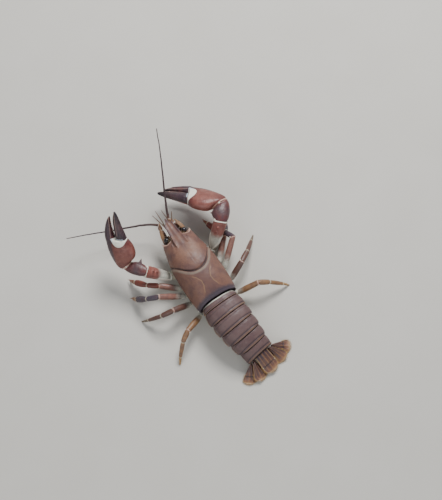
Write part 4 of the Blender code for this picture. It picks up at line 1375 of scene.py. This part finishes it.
@dataclass
class HeadLimbs:
    """Feeler bases, small feelers, scales and outer mouth legs of one side."""

    side: Side
    base_joints: tuple[float, ...] = (0.35, 0.68)
    small_rings: int = 34
    scale_hairs: int = 34
    mouth_joints: tuple[float, ...] = (0.42, 0.66, 0.84)
    mouth_hairs: int = 90

    def build(self) -> None:
        """Makes the four pieces and their bristles."""
        letter = self.side.letter
        base = Sculpt(f"antenna_base_{letter}", 0.2)
        along = base.along(*base.ends("carapace"))
        joint = sum(stripe(along, share, 0.035) for share in self.base_joints)
        base.relief(joint, -0.16)
        base.mark(along=along, joint=joint, rim=base.near(f"antenna_{letter}", 0.9))
        base.dress(FEELER_BASE, Slot.FEELER)

        small = Sculpt(f"antennule_{letter}", 0.13, passes=3)
        along = small.along(*small.ends("carapace"))
        small.relief(rise(along, 0.7, 1.0), -0.06)
        wave = np.sin(along * math.tau * self.small_rings) * rise(along, 0.4, 0.5)
        small.mark(along=along, ring=0.5 + 0.5 * wave)
        small.dress(SMALL_FEELER, Slot.FEELER)

        self._scale(letter)
        self._mouth_leg(letter)

    def _scale(self, letter: str) -> None:
        """The leaf beside the feeler, with a stiff outer edge and a fringe on the inner one.

        Args:
            letter: Ending of the names of this side's nodes.
        """
        leaf = Sculpt(f"antennal_scale_{letter}", 0.15, passes=3)
        root, tip = leaf.ends("carapace")
        along = leaf.along(root, tip)
        across = (leaf.x - root.x) * self.side.value
        outer = across - np.interp(along, (0.0, 1.0), (0.0, (tip.x - root.x) * self.side.value))
        leaf.relief(rise(outer, 0.5, 1.0), 0.12)
        leaf.relief(stripe(outer, -0.3, 0.25) * rise(along, 0.1, 0.3), -0.1)
        leaf.mark(along=along, edge=rise(np.abs(outer), 1.0, 1.5))
        leaf.dress(SCALE, Slot.SCALE)
        rows = []
        for k in range(self.scale_hairs):
            share = 0.35 + 0.62 * k / (self.scale_hairs - 1)
            aside = self.side.turn(Vector((-1.2 * (1.1 - share), 0.0, 0.1)))
            rows.append((root.lerp(tip, share) + aside, self.side.turn(Vector((-0.6, 1.0, 0.1))), 1.6))
        Bristles(f"scale_fringe_{letter}", seed=11 + self.side.value).grow(rows, Slot.SCALE)

    def _mouth_leg(self, letter: str) -> None:
        """The outer mouth leg, with grooves at its joints and bristles on its inner edge.

        Args:
            letter: Ending of the names of this side's nodes.
        """
        leg = Sculpt(f"maxilliped_{letter}", 0.2)
        root, tip = leg.ends("underside")
        along = leg.along(root, tip)
        joint = sum(stripe(along, share, 0.03) for share in self.mouth_joints)
        leg.relief(joint, -0.18)
        leg.mark(along=0.3 + 0.4 * along, joint=joint)
        leg.dress(LEG_LOOKS[5][0], Slot.LEG)
        rows = []
        for k in range(self.mouth_hairs):
            share = 0.2 + 0.78 * k / (self.mouth_hairs - 1)
            aside = self.side.turn(Vector((-0.8, 0.0, 0.5 - 1.0 * (k % 2))))
            rows.append((root.lerp(tip, share) + aside, self.side.turn(Vector((-1.0, 0.5, 0.0))), 1.3))
        Bristles(f"mouth_fringe_{letter}", seed=21 + self.side.value).grow(rows, Slot.LEG)


@dataclass
class JointSkin:
    """Soft skin and pivot knobs between two hard pieces."""

    name: str
    near: str
    far: str
    slot: Slot
    fullness: float = 0.86
    knob: float = 0.0

    def build(self) -> None:
        """Makes a folded cushion of skin in the joint, and the knobs that the joint turns on."""
        contact = Solids.contact(self.far, self.near, 0.6)
        centre = Vector(contact.mean(axis=0))
        spread = contact - np.array(centre)
        axes = np.linalg.svd(spread, full_matrices=False)[2]
        radii = np.abs(spread @ axes.T).max(axis=0)
        long_way, short_way, normal = (Vector(axis) for axis in axes)
        bpy.ops.object.select_all(action="DESELECT")
        bpy.ops.mesh.primitive_uv_sphere_add(segments=36, ring_count=24, radius=MM)
        cushion = bpy.context.active_object
        bpy.ops.transform.resize(
            value=(radii[0] * self.fullness, radii[1] * self.fullness, max(0.9, radii[1] * 0.32))
        )
        turn = Matrix((long_way, short_way, normal)).transposed()
        if turn.determinant() < 0:
            turn = Matrix((long_way, short_way, -normal)).transposed()
        cushion = Bench.new(f"skin_{self.name}")
        self._fold(cushion)
        cushion.data.transform(Matrix.Translation(to_row(centre)) @ turn.to_4x4())
        settle(cushion, SKIN, self.slot)
        if self.knob:
            self._knobs(centre, contact)

    @staticmethod
    def _fold(cushion: bpy.types.Object) -> None:
        """Presses a fold round the cushion's middle.

        Args:
            cushion: The cushion, flat on its own axes.
        """
        mesh = cushion.data
        reach = 0.35 * max(abs(v.co.z) for v in mesh.vertices)
        faces = [face.index for face in mesh.polygons if abs(face.center.z) < reach]
        Bench.inset(cushion, faces, 0.08, -0.12)
        Bench.modify(cushion, "SMOOTH", factor=0.5, iterations=2)

    def _knobs(self, centre: Vector, contact: Places) -> None:
        """Sets a pale knob on each side of the joint, on the line that it turns about.

        Args:
            centre: Middle of the joint.
            contact: Vertices of the far piece that lie in the joint.
        """
        spread = contact - np.array(centre)
        inward = Vector(Solids.places(self.near).mean(axis=0)) - centre
        outward = Vector(Solids.places(self.far).mean(axis=0)) - centre
        axis = inward.cross(outward).normalized()
        knobs = []
        for way in (1, -1):
            bpy.ops.object.select_all(action="DESELECT")
            furthest = Vector(contact[np.argmax(spread @ np.array(axis) * way)])
            place = to_row(furthest.lerp(centre, 0.04))
            bpy.ops.mesh.primitive_uv_sphere_add(
                segments=20, ring_count=12, radius=self.knob * MM, location=place
            )
            knob = Bench.new("knob")
            faces = [face.index for face in knob.data.polygons if face.normal.dot(axis * way) > 0.86]
            Bench.inset(knob, faces, 0.1, -0.1)
            knobs.append(knob)
        pair = Bench.join(knobs, f"knobs_{self.name}")
        Bench.modify(pair, "SUBSURF", levels=1, render_levels=1)
        settle(pair, KNOB, self.slot)


@dataclass(frozen=True)
class Ridge:
    """A ridge along a finger, with a furrow beside it."""

    places: tuple[float, float]
    offsets: tuple[float, float]
    start: float
    height: float
    furrow_beside: float
    furrow_depth: float
    width: float = 0.3
    furrow_width: float = 0.5

    def carve(self, piece: Sculpt, along: Places, across: Places, height: Places) -> Mask:
        """Raises the ridge and sinks its furrow on the back of a piece.

        Args:
            piece: The piece.
            along: Distances of its places from the wrist.
            across: Distances to the claw's inner edge.
            height: Distances out of the claw's back.

        Returns:
            Where the ridge lies.
        """
        centre = np.interp(along, self.places, self.offsets)
        back = rise(along, self.start, self.start + 3.0) * rise(height, 0.0, 0.8)
        ridge = stripe(across, centre, self.width) * back
        furrow = stripe(across, centre + self.furrow_beside, self.furrow_width) * back
        piece.relief(ridge, self.height)
        piece.relief(furrow, -self.furrow_depth)
        return ridge


@dataclass
class ClawArm:
    """One claw-bearing leg: hip, upper arm, forearm, palm and moving finger."""

    side: Side
    wrist: Vector
    tip: Vector
    roll: float
    size: float
    joint: Vector = field(default_factory=lambda: Vector((21.8, 0.0, 0.0)))
    joint_normal: Vector = field(default_factory=lambda: Vector((0.996, 0.087, 0.0)).normalized())
    patch: tuple[float, float] = (-6.9, 5.4)
    patch_depth: float = 4.9
    patch_roundness: float = 2.6
    patch_lean: float = 0.03
    # where the dark outer edge starts, the claw's own margin plus painted shade
    dark_from: float = -5.6
    # how far the pale borders close into a V at the base, which widens the painted shade on the sides
    # there
    fold: float = 0.0
    palm_length: float = 41.0
    palm_ridge: Ridge = Ridge((20.0, 39.0), (-6.4, -5.4), 22.0, 0.2, -1.1, 0.14)
    finger_ridge: Ridge = Ridge((22.0, 42.0), (-1.2, -0.9), 23.0, 0.18, 1.1, 0.12)
    teeth: int = 9
    tooth_edges: tuple[float, float] = (-4.85, -3.2)

    def build(self) -> None:
        """Makes the five hard pieces, their teeth and the skin of the joints."""
        letter = self.side.letter
        hip, merus, carpus = (f"claw_{name}_{letter}" for name in ("hip", "merus", "carpus"))
        palm, finger = f"claw_palm_{letter}", f"claw_finger_{letter}"
        self._plain(hip, "underside", merus, HIP, 0.25)
        self._plain(merus, hip, carpus, MERUS, 0.26)
        self._plain(carpus, merus, palm, CARPUS, 0.26)
        self._palm(palm, carpus)
        self._finger(finger)
        self._teeth(letter)
        JointSkin(f"hip_{letter}", hip, merus, Slot.ARM).build()
        JointSkin(f"elbow_{letter}", merus, carpus, Slot.ARM, knob=1.0).build()
        JointSkin(f"wrist_{letter}", carpus, palm, Slot.ARM, knob=0.8).build()
        JointSkin(f"finger_{letter}", palm, finger, Slot.FINGER, fullness=0.7).build()

    def _plain(self, node: str, near: str, far: str, finish: Finish, voxel: float) -> None:
        """A piece of the arm with pale rims, one at the joint that it ends in.

        Args:
            node: The node that it stands for.
            near: The node that it grows from.
            far: The node that grows from it.
            finish: Its look.
            voxel: Size of its skin's faces, in millimetres.
        """
        piece = Sculpt(node, voxel, passes=3)
        root, tip = piece.ends(near)
        along = piece.along(root, tip)
        joint = Solids.distance(piece.places, far)
        rim = rise(joint, 1.1, 0.75)
        piece.relief(rim, 0.12)
        piece.relief(stripe(joint, 1.45, 0.3), -0.12)
        piece.relief(piece.near(near, 0.9, 0.5), 0.08)
        piece.grain(2.6, 0.22)
        piece.grain(0.8, 0.07)
        aside = np.abs(piece.girth(root, tip))
        edge = np.interp(along, (0.02, 0.34), (0.9 - 0.8 * self.fold, 0.9))
        border = rise(aside, edge - 0.2, edge - 0.04) * rise(aside, edge + 0.32, edge + 0.18)
        upward = piece.normals[:, 2]
        piece.mark(
            along=along,
            rim=rim,
            base=rise(along, 0.12, 0.0),
            border=border * rise(along, 0.6, 0.42) * rise(upward, -0.2, 0.1),
            # fold mask: the sides outside the pale borders, where the painted shade goes
            fold=rise(aside, edge + 0.14, edge + 0.34),
            belly=rise(upward, -0.1, -0.6),
        )
        piece.dress(finish, Slot.ARM)

    def _axes(self) -> tuple[Vector, Vector, Vector]:
        """The claw's own directions.

        Returns:
            The ways along it, to its inner edge and out of its back.
        """
        along = (self.tip - self.wrist).normalized()
        flat_inner = UP.cross(along).normalized() * self.side.value
        back = along.cross(flat_inner).normalized() * self.side.value
        roll = math.radians(self.roll)
        inner = flat_inner * math.cos(roll) + back * math.sin(roll)
        return along, inner, (back * math.cos(roll) - flat_inner * math.sin(roll)).normalized()

    def _local(self, piece: Sculpt) -> tuple[Places, Places, Places]:
        """Measures a piece in the claw's own directions.

        Args:
            piece: The piece.

        Returns:
            Distances from the wrist along, across and out of the claw, in the right claw's millimetres.
        """
        offset = (piece.places - np.array(self.wrist)) / self.size
        along, inner, back = self._axes()
        return offset @ np.array(along), offset @ np.array(inner), offset @ np.array(back)

    def _behind_joint(self, along: Places, across: Places) -> Places:
        """How far places lie behind the slanted joint of the moving finger."""
        return (self.joint.x - along) * self.joint_normal.x + (self.joint.y - across) * self.joint_normal.y

    def _palm(self, node: str, carpus: str) -> None:
        """The palm with its white patch, dark outer edge (own dark margin plus painted shade) and pale
        wrist.

        Args:
            node: The palm's node.
            carpus: The forearm's node.
        """
        palm = Sculpt(node, 0.26)
        along, across, height = self._local(palm)
        behind = self._behind_joint(along, across)
        wrist = Solids.distance(palm.places, carpus)
        top = rise(height, -2.4, -0.6)
        middle, half = sum(self.patch) / 2, (self.patch[1] - self.patch[0]) / 2
        share = np.clip(np.abs(across - middle) / half, 0.0, 1.3)
        lean = 1.0 - self.patch_lean * (across - middle)
        depth = self.patch_depth * (1.0 - share**self.patch_roundness) * lean
        near_joint = rise(behind, -1.6, -0.4) * top
        patch = rise(behind - depth, 0.9, -0.7) * near_joint
        palm.relief(rise(behind - depth, 0.2, -1.2) * near_joint, 0.1)
        palm.relief(rise(wrist, 1.1, 0.7), 0.1)
        palm.relief(stripe(wrist, 1.5, 0.35), -0.12)
        ridge = self.palm_ridge.carve(palm, along, across, height)
        palm.relief(stripe(behind, 0.9, 0.4) * rise(across, -3.6, -2.4) * rise(height, 0.5, 1.5), 0.12)
        palm.grain(2.4, 0.26)
        palm.grain(0.7, 0.09)
        palm.mark(
            along=along / self.palm_length,
            patch=patch,
            lobe=patch * rise(across, -4.6, -5.6),
            # ridge mask: where the painted highlight along the ridge goes
            ridge=ridge,
            # outer: the dark outer edge, the claw's own margin widened by painted shade
            outer=rise(across, self.dark_from, self.dark_from - 3.4) * rise(along, 0.5, 6.0),
            rim=stripe(wrist, 0.7, 0.35) * rise(height, -3.0, -1.0),
            belly=rise(height, -1.6, -3.4) * (1.0 - 0.55 * rise(along, 21.0, 25.0)),
        )
        palm.dress(PALM, Slot.CLAW)

    def _finger(self, node: str) -> None:
        """The moving finger with its ridges and its collar at the joint.

        Args:
            node: The finger's node.
        """
        finger = Sculpt(node, 0.2)
        along, across, height = self._local(finger)
        behind = self._behind_joint(along, across)
        ridge = self.finger_ridge.carve(finger, along, across, height)
        finger.relief(stripe(behind, -1.3, 0.35), -0.14)
        finger.grain(2.0, 0.18)
        finger.grain(0.6, 0.07)
        finger.mark(
            along=rise(along, 19.0, 42.0),
            # ridge mask: where the painted highlight along the ridge goes
            ridge=ridge,
            patch=rise(behind, -1.2, -0.5) * rise(height, -0.5, 0.5) * rise(across, 3.5, 2.0),
            belly=rise(height, -1.0, -2.4),
        )
        finger.dress(FINGER, Slot.FINGER)

    def _teeth(self, letter: str) -> None:
        """Blunt teeth along the two edges that meet.

        Args:
            letter: Ending of the names of this side's nodes.
        """
        along, inner, _ = self._axes()
        teeth = []
        chance = random.Random(self.side.value + 7)
        for number, edge in enumerate(self.tooth_edges):
            for k in range(self.teeth):
                share = k / (self.teeth - 1)
                place = 23.6 + 0.8 * number + 12.5 * share
                bow = edge + (0.25 if number else -0.2) * math.cos(math.pi * share)
                centre = self.wrist + (along * place + inner * bow) * self.size
                bpy.ops.object.select_all(action="DESELECT")
                radius = (0.55 - 0.25 * share) * self.size * chance.uniform(0.7, 1.2)
                bpy.ops.mesh.primitive_ico_sphere_add(
                    subdivisions=2, radius=radius * MM, location=to_row(centre)
                )
                bpy.ops.transform.resize(value=(1.0, 1.0, 0.85))
                teeth.append(Bench.new("tooth"))
        settle(Bench.join(teeth, f"teeth_{letter}"), SKIN, Slot.FINGER)


@dataclass
class WalkingLeg:
    """One walking leg, above and below its knee."""

    number: int
    side: Side
    hip_share: float
    ankle_share: float = 0.31
    heel_share: float = 0.76
    hairs: int = 46
    bare_height: float = 1.2
    voxel: float = 0.22

    def build(self) -> None:
        """Makes both pieces, the knee's skin and the foot's bristles."""
        letter = self.side.letter
        upper, lower = f"leg{self.number}_upper_{letter}", f"leg{self.number}_lower_{letter}"
        above, below = LEG_LOOKS[self.number]
        self._piece(upper, "underside", lower, (self.hip_share + 0.05,), above)
        tip = self._piece(lower, upper, None, (self.ankle_share, self.heel_share), below)
        JointSkin(f"knee{self.number}_{letter}", upper, lower, Slot.LEG, fullness=0.8, knob=0.5).build()
        self._bristles(lower, tip)

    def _piece(
        self, node: str, near: str, far: str | None, joints: tuple[float, ...], finish: Finish
    ) -> tuple[Vector, Vector]:
        """One piece of the leg.

        Args:
            node: The node that it stands for.
            near: The node that it grows from.
            far: The node that grows from it, if any.
            joints: Shares of its length where it has a joint of its own.
            finish: Its look.

        Returns:
            Its root and its tip.
        """
        piece = Sculpt(node, self.voxel)
        root, tip = piece.ends(near)
        along = piece.along(root, tip)
        across = np.abs(piece.girth(root, tip))
        length = (tip - root).length
        joint = sum(stripe(along, share, 0.45 / length) for share in joints)
        collar = sum(stripe(along, share - 1.1 / length, 0.5 / length) for share in joints)
        rim = piece.near(far, 1.2, 0.6) if far else np.zeros(len(along))
        piece.relief(joint, -0.2)
        piece.relief(collar, 0.14)
        piece.relief(rim, 0.12)
        piece.grain(1.6, 0.12)
        piece.mark(
            along=along,
            joint=joint,
            rim=rim,
            border=rise(across, 0.75, 0.95) * rise(along, 0.46, 0.34) * (1.0 if far else 0.0),
            belly=rise(piece.normals[:, 2], -0.2, -0.7),
        )
        piece.dress(finish, Slot.LEG)
        return root, tip

    def _bristles(self, node: str, ends: tuple[Vector, Vector]) -> None:
        """Sparse hairs round the foot, leaning to its tip.

        Args:
            node: The node below the knee.
            ends: Its root and its tip.
        """
        root, tip = ends
        chance = random.Random(self.number * 10 + self.side.value)
        places = Solids.places(node)
        way = (tip - root).normalized()
        rows = []
        wanted = places[((places - np.array(root)) @ np.array(way)) > 0.45 * (tip - root).length]
        for _ in range(self.hairs):
            place = Vector(wanted[chance.randrange(len(wanted))])
            if place.z < self.bare_height:
                continue
            axis = root + way * (place - root).dot(way)
            out = (place - axis).normalized()
            rows.append((axis.lerp(place, 0.9), out * 0.6 + way, 0.9))
        Bristles(f"foot_hairs{self.number}_{self.side.letter}", radius=0.035, seed=self.number).grow(
            rows, Slot.LEG
        )


@dataclass
class Abdomen:
    """The six rings of the abdomen."""

    voxel: float = 0.33
    rings: int = 6
    fore_seam: float = 0.3
    rear_seam: float = 0.82
    far: float = 9.0

    def build(self) -> None:
        """Makes the rings from front to rear."""
        for number in range(1, self.rings + 1):
            self._ring(number)

    def _ring(self, number: int) -> None:
        """One ring with its raised rear rim, seam and side plates.

        Args:
            number: Its number, from the front.
        """
        node = f"abdomen_{number}"
        after = "telson" if number == self.rings else f"abdomen_{number + 1}"
        ring = Sculpt(node, self.voxel, passes=3)
        low, high = (corner.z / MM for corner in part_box(node))
        heart = Vector(Solids.places(node).mean(axis=0))
        behind = Vector(Solids.places(after).mean(axis=0))
        way = Vector((behind.x - heart.x, behind.y - heart.y, 0.0)).normalized()
        depth = ring.places @ np.array(way)
        share = (depth - depth.min()) / (depth.max() - depth.min())
        above = rise(ring.z, low + 1.0, (low + high) / 2)
        ring.relief(stripe(share, self.rear_seam, 0.035) * above, -0.16)
        ring.relief(rise(share, self.rear_seam + 0.03, self.rear_seam + 0.08) * above, 0.08)
        ring.relief(stripe(share, self.fore_seam, 0.05) * above, -0.12)
        ring.grain(4.0, 0.3)
        ring.grain(1.0, 0.09)
        across = np.abs((ring.places - np.array(heart)) @ np.array((-way.y, way.x, 0.0)))
        # mask of the painted shadow in the seams between the rings
        seam_shade = np.maximum(stripe(share, self.rear_seam, 0.035), 0.7 * stripe(share, self.fore_seam, 0.03))
        first = number == 1
        shield = Solids.distance(ring.places, "carapace") if first else np.full(len(share), self.far)
        paddles = rise(ring.z, 0.7 * low + 0.3 * high, low) * rise(across, 10.0, 8.5)
        ring.mark(
            along=share,
            seam=seam_shade * above,
            pale_line=stripe(share, 0.94, 0.05) * above,
            fore_edge=stripe(shield, 1.5, 0.45) * rise(ring.z, 10.0, 14.0),
            plate=rise(across, 9.0, 11.5) * rise(ring.z, high - 4, low + 3),
            belly=np.maximum(rise(ring.normals[:, 2], -0.3, -0.75), paddles),
        )
        ring.dress(ABDOMEN, Slot.ABDOMEN)


@dataclass
class FanBlade:
    """One blade of the tail fan."""

    node: str
    seam: float
    hairs: int = 110
    hair_length: float = 1.5
    fringe_turn: float = 224.0
    shorter: float = 0.93
    voxel: float = 0.2
    bins: int = 24

    def build(self) -> None:
        """Makes the blade with its ribs and seam, and the fringe round its rear edge."""
        blade = Sculpt(self.node, self.voxel, passes=3)
        root, tip = blade.ends("abdomen_6")
        along = blade.along(root, tip)
        across_way = np.array((tip - root).cross(UP).normalized())
        across = (blade.places - np.array(root)) @ across_way
        widths = self._outline(along, across)
        share = across / np.maximum(0.3, np.interp(along, *widths))
        blade.relief(stripe(share, 0.0, 0.12) * rise(along, 0.02, 0.1) * rise(along, 0.98, 0.8), 0.24)
        for place in (-0.5, 0.5):
            blade.relief(stripe(share, place, 0.08) * rise(along, 0.05, 0.2), 0.12)
        blade.relief(stripe(along, self.seam, 0.02), -0.2)
        blade.relief(rise(blade.normals[:, 2], 0.2, 0.7) * rise(along, 0.05, 0.3), -0.42)
        blade.grain(1.4, 0.1)
        blade.mark(
            along=along,
            rib=stripe(share, 0.0, 0.14) + stripe(np.abs(share), 0.5, 0.08),
            # seam mask: where the painted shade in the sunk seam goes
            seam=stripe(along, self.seam, 0.025),
            edge=np.maximum(rise(np.abs(share), 0.8, 0.95), rise(along, 0.9, 0.97)),
            belly=rise(blade.normals[:, 2], -0.3, -0.8),
        )
        self._shorten(blade, root, tip)
        rows = self._outline_hairs(blade.places, root, tip, across_way)
        blade.dress(FAN, Slot.TAIL_FAN)
        fringe = Bristles(f"fringe_{self.node}", radius=0.05, spread=0.1, seed=len(self.node))
        fringe.grow(rows, Slot.TAIL_FAN)

    def _outline(self, along: Places, across: Places) -> tuple[Places, Places]:
        """Half widths of the blade along it.

        Args:
            along: Shares of the way from root to tip.
            across: Distances from the middle line.

        Returns:
            Places between 0 and 1, and the half width at each.
        """
        places = np.linspace(0.0, 1.0, self.bins)
        widths = []
        for place in places:
            here = np.abs(across[np.abs(along - place) < 0.6 / self.bins])
            widths.append(here.max() if len(here) else 0.3)
        return places, np.array(widths)

    def _shorten(self, blade: Sculpt, root: Vector, tip: Vector) -> None:
        """Draws the blade back to its root, to leave room for the fringe inside its outline.

        Args:
            blade: The blade.
            root: Its root.
            tip: Its tip.
        """
        centre = Matrix.Translation(to_row(root))
        shrink = Matrix.Scale(self.shorter, 4, (tip - root).normalized())
        blade.obj.data.transform(centre @ shrink @ centre.inverted())

    def _outline_hairs(
        self, places: Places, root: Vector, tip: Vector, across_way: Places
    ) -> list[tuple[Vector, Vector, float]]:
        """Roots, directions and lengths of the hairs round the blade's rear edge.

        Args:
            places: The blade's skin before it was drawn back.
            root: The blade's root.
            tip: The blade's tip.
            across_way: The blade's level sideways direction.

        Returns:
            A row for each hair.
        """
        way = np.array(tip - root)
        length = np.linalg.norm(way)
        way = way / length
        along = (places - np.array(root)) @ way * self.shorter
        across = (places - np.array(root)) @ across_way
        skin = places + np.outer(along - along / self.shorter, way)
        middle = length * 0.6
        turn = np.arctan2(across, along - middle)
        reach = np.hypot(across, along - middle)
        rows = []
        for k in range(self.hairs):
            angle = math.radians(self.fringe_turn * ((k + 0.5) / self.hairs - 0.5))
            near = np.abs(turn - angle) < 0.05
            if not near.any():
                continue
            edge = reach[near] > reach[near].max() - 0.12
            start = Vector(skin[near][edge].mean(axis=0))
            out = Vector(across_way) * math.sin(angle) + Vector(way) * math.cos(angle)
            lean = out + Vector(way) * 0.6
            lean.z = 0.0
            rows.append((start - out * 0.15, lean, self.hair_length))
        return rows


@dataclass
class Belly:
    """The keel between the legs."""

    voxel: float = 0.3
    grooves: tuple[float, ...] = (7.0, 12.3, 17.9, 24.4, 33.0)

    def build(self) -> None:
        """Makes the keel with a groove between each pair of legs."""
        keel = Sculpt("underside", self.voxel)
        groove = sum(stripe(keel.y, place, 0.5) for place in self.grooves)
        groove = groove + stripe(keel.x, 0.0, 0.4) * rise(keel.normals[:, 2], -0.2, -0.8)
        keel.relief(groove, -0.3)
        keel.grain(2.0, 0.2)
        # groove mask: carves the grooves and places the painted shade in them
        keel.mark(groove=groove)
        keel.dress(BELLY, Slot.UNDERSIDE)


@dataclass
class Studio:
    """Floor, soft lights and camera."""

    azimuth: float = -33.4
    elevation: float = 76.0
    lens: float = 100.0
    sensor: float = 36.0
    long_side: int = 500
    image: tuple[int, int] = (442, 500)
    scale: float = 0.62
    anchor: Vector = field(default_factory=lambda: Vector((0.0, 0.0, 25.0)))
    anchor_pixel: tuple[float, float] = (216.7, 295.0)

    def build(self) -> None:
        """Sets up everything round the animal."""
        self._floor()
        self._lights()
        self._camera()

    def _floor(self) -> None:
        """A wide pale floor."""
        bpy.ops.object.select_all(action="DESELECT")
        bpy.ops.mesh.primitive_plane_add(size=6.0, location=(0.0, 0.0, 0.0))
        floor = Bench.new("floor")
        graph = Graph("pale floor")
        pale = graph.mix(graph.noise(graph.place, 40.0), tint(196, 192, 184), tint(204, 201, 194))
        graph.feed(graph.shader.inputs["Base Color"], pale)
        graph.shader.inputs["Roughness"].default_value = 0.9
        floor.data.materials.append(graph.result)

    def _lights(self) -> None:
        """A large soft light from the right, a weak one from the left and a pale sky."""
        for name, place, size, power in (
            ("key light", Vector((0.45, 0.4, 0.7)), 0.32, 11.0),
            ("fill light", Vector((-0.6, -0.3, 0.6)), 0.8, 2.6),
            ("rear light", Vector((0.0, -0.8, 0.35)), 0.6, 1.2),
        ):
            lamp = bpy.data.lights.new(name, "AREA")
            lamp.size = size
            lamp.energy = power
            holder = bpy.data.objects.new(name, lamp)
            holder.location = place
            holder.rotation_euler = (-place).to_track_quat("-Z", "Y").to_euler()
            bpy.context.scene.collection.objects.link(holder)
        world = bpy.data.worlds.new("studio")
        world.use_nodes = True
        sky = world.node_tree.nodes["Background"]
        sky.inputs["Color"].default_value = (0.85, 0.92, 1.0, 1.0)
        sky.inputs["Strength"].default_value = 0.34
        bpy.context.scene.world = world

    def _camera(self) -> None:
        """Looks down at the animal from the photograph's side, at its scale."""
        azimuth, elevation = math.radians(self.azimuth), math.radians(self.elevation)
        back = Vector(
            (
                math.sin(azimuth) * math.cos(elevation),
                -math.cos(azimuth) * math.cos(elevation),
                math.sin(elevation),
            )
        )
        right = Vector((math.cos(azimuth), math.sin(azimuth), 0.0))
        up = back.cross(right)
        distance = self.scale * self.long_side * self.lens / self.sensor * MM
        off_x = self.anchor_pixel[0] - self.image[0] / 2
        off_y = self.anchor_pixel[1] - self.image[1] / 2
        target = to_row(self.anchor) + (up * off_y - right * off_x) * self.scale * MM
        lens = bpy.data.cameras.new("camera")
        lens.lens = self.lens
        lens.sensor_width = self.sensor
        lens.clip_start = 0.01
        camera = bpy.data.objects.new("camera", lens)
        camera.location = target + back * distance
        camera.rotation_mode = "QUATERNION"
        camera.rotation_quaternion = (-back).to_track_quat("-Z", "Y")
        bpy.context.scene.collection.objects.link(camera)
        bpy.context.scene.camera = camera


def assemblies() -> list[object]:
    """Sets the sizes of the sub-assemblies.

    Returns:
        The sub-assemblies, in the order in which they are built.
    """
    right = ClawArm(
        Side.RIGHT, Vector((35.3, 48.4, 21.8)), Vector((6.4, 77.7, 14.0)), 40.0, 1.0, fold=1.0
    )
    left = ClawArm(
        Side.LEFT,
        Vector((-35.8, 48.0, 18.0)),
        Vector((-25.8, 74.5, 43.0)),
        25.0,
        0.9,
        patch=(-6.0, 4.6),
        patch_depth=4.6,
        dark_from=-4.4,
    )
    hips = {2: 0.2, 3: 0.19, 4: 0.25, 5: 0.33}
    legs = [WalkingLeg(number, side, share) for number, share in hips.items() for side in Side]
    blades = [FanBlade("telson", 0.62)]
    for side in Side:
        blades.append(FanBlade(f"uropod_inner_{side.letter}", 1.4))
        blades.append(FanBlade(f"uropod_outer_{side.letter}", 0.66))
    head = [part for side in Side for part in (Eye(side), Whip(side), HeadLimbs(side))]
    return [Studio(), HeadShield(), Belly(), *head, right, left, *legs, Abdomen(), *blades]


def main() -> None:
    """Builds the model."""
    logging.basicConfig(level=logging.INFO, format="%(name)s %(message)s")
    for part in assemblies():
        log.info("building %s", type(part).__name__)
        part.build()


if __name__ == "__main__":
    main()
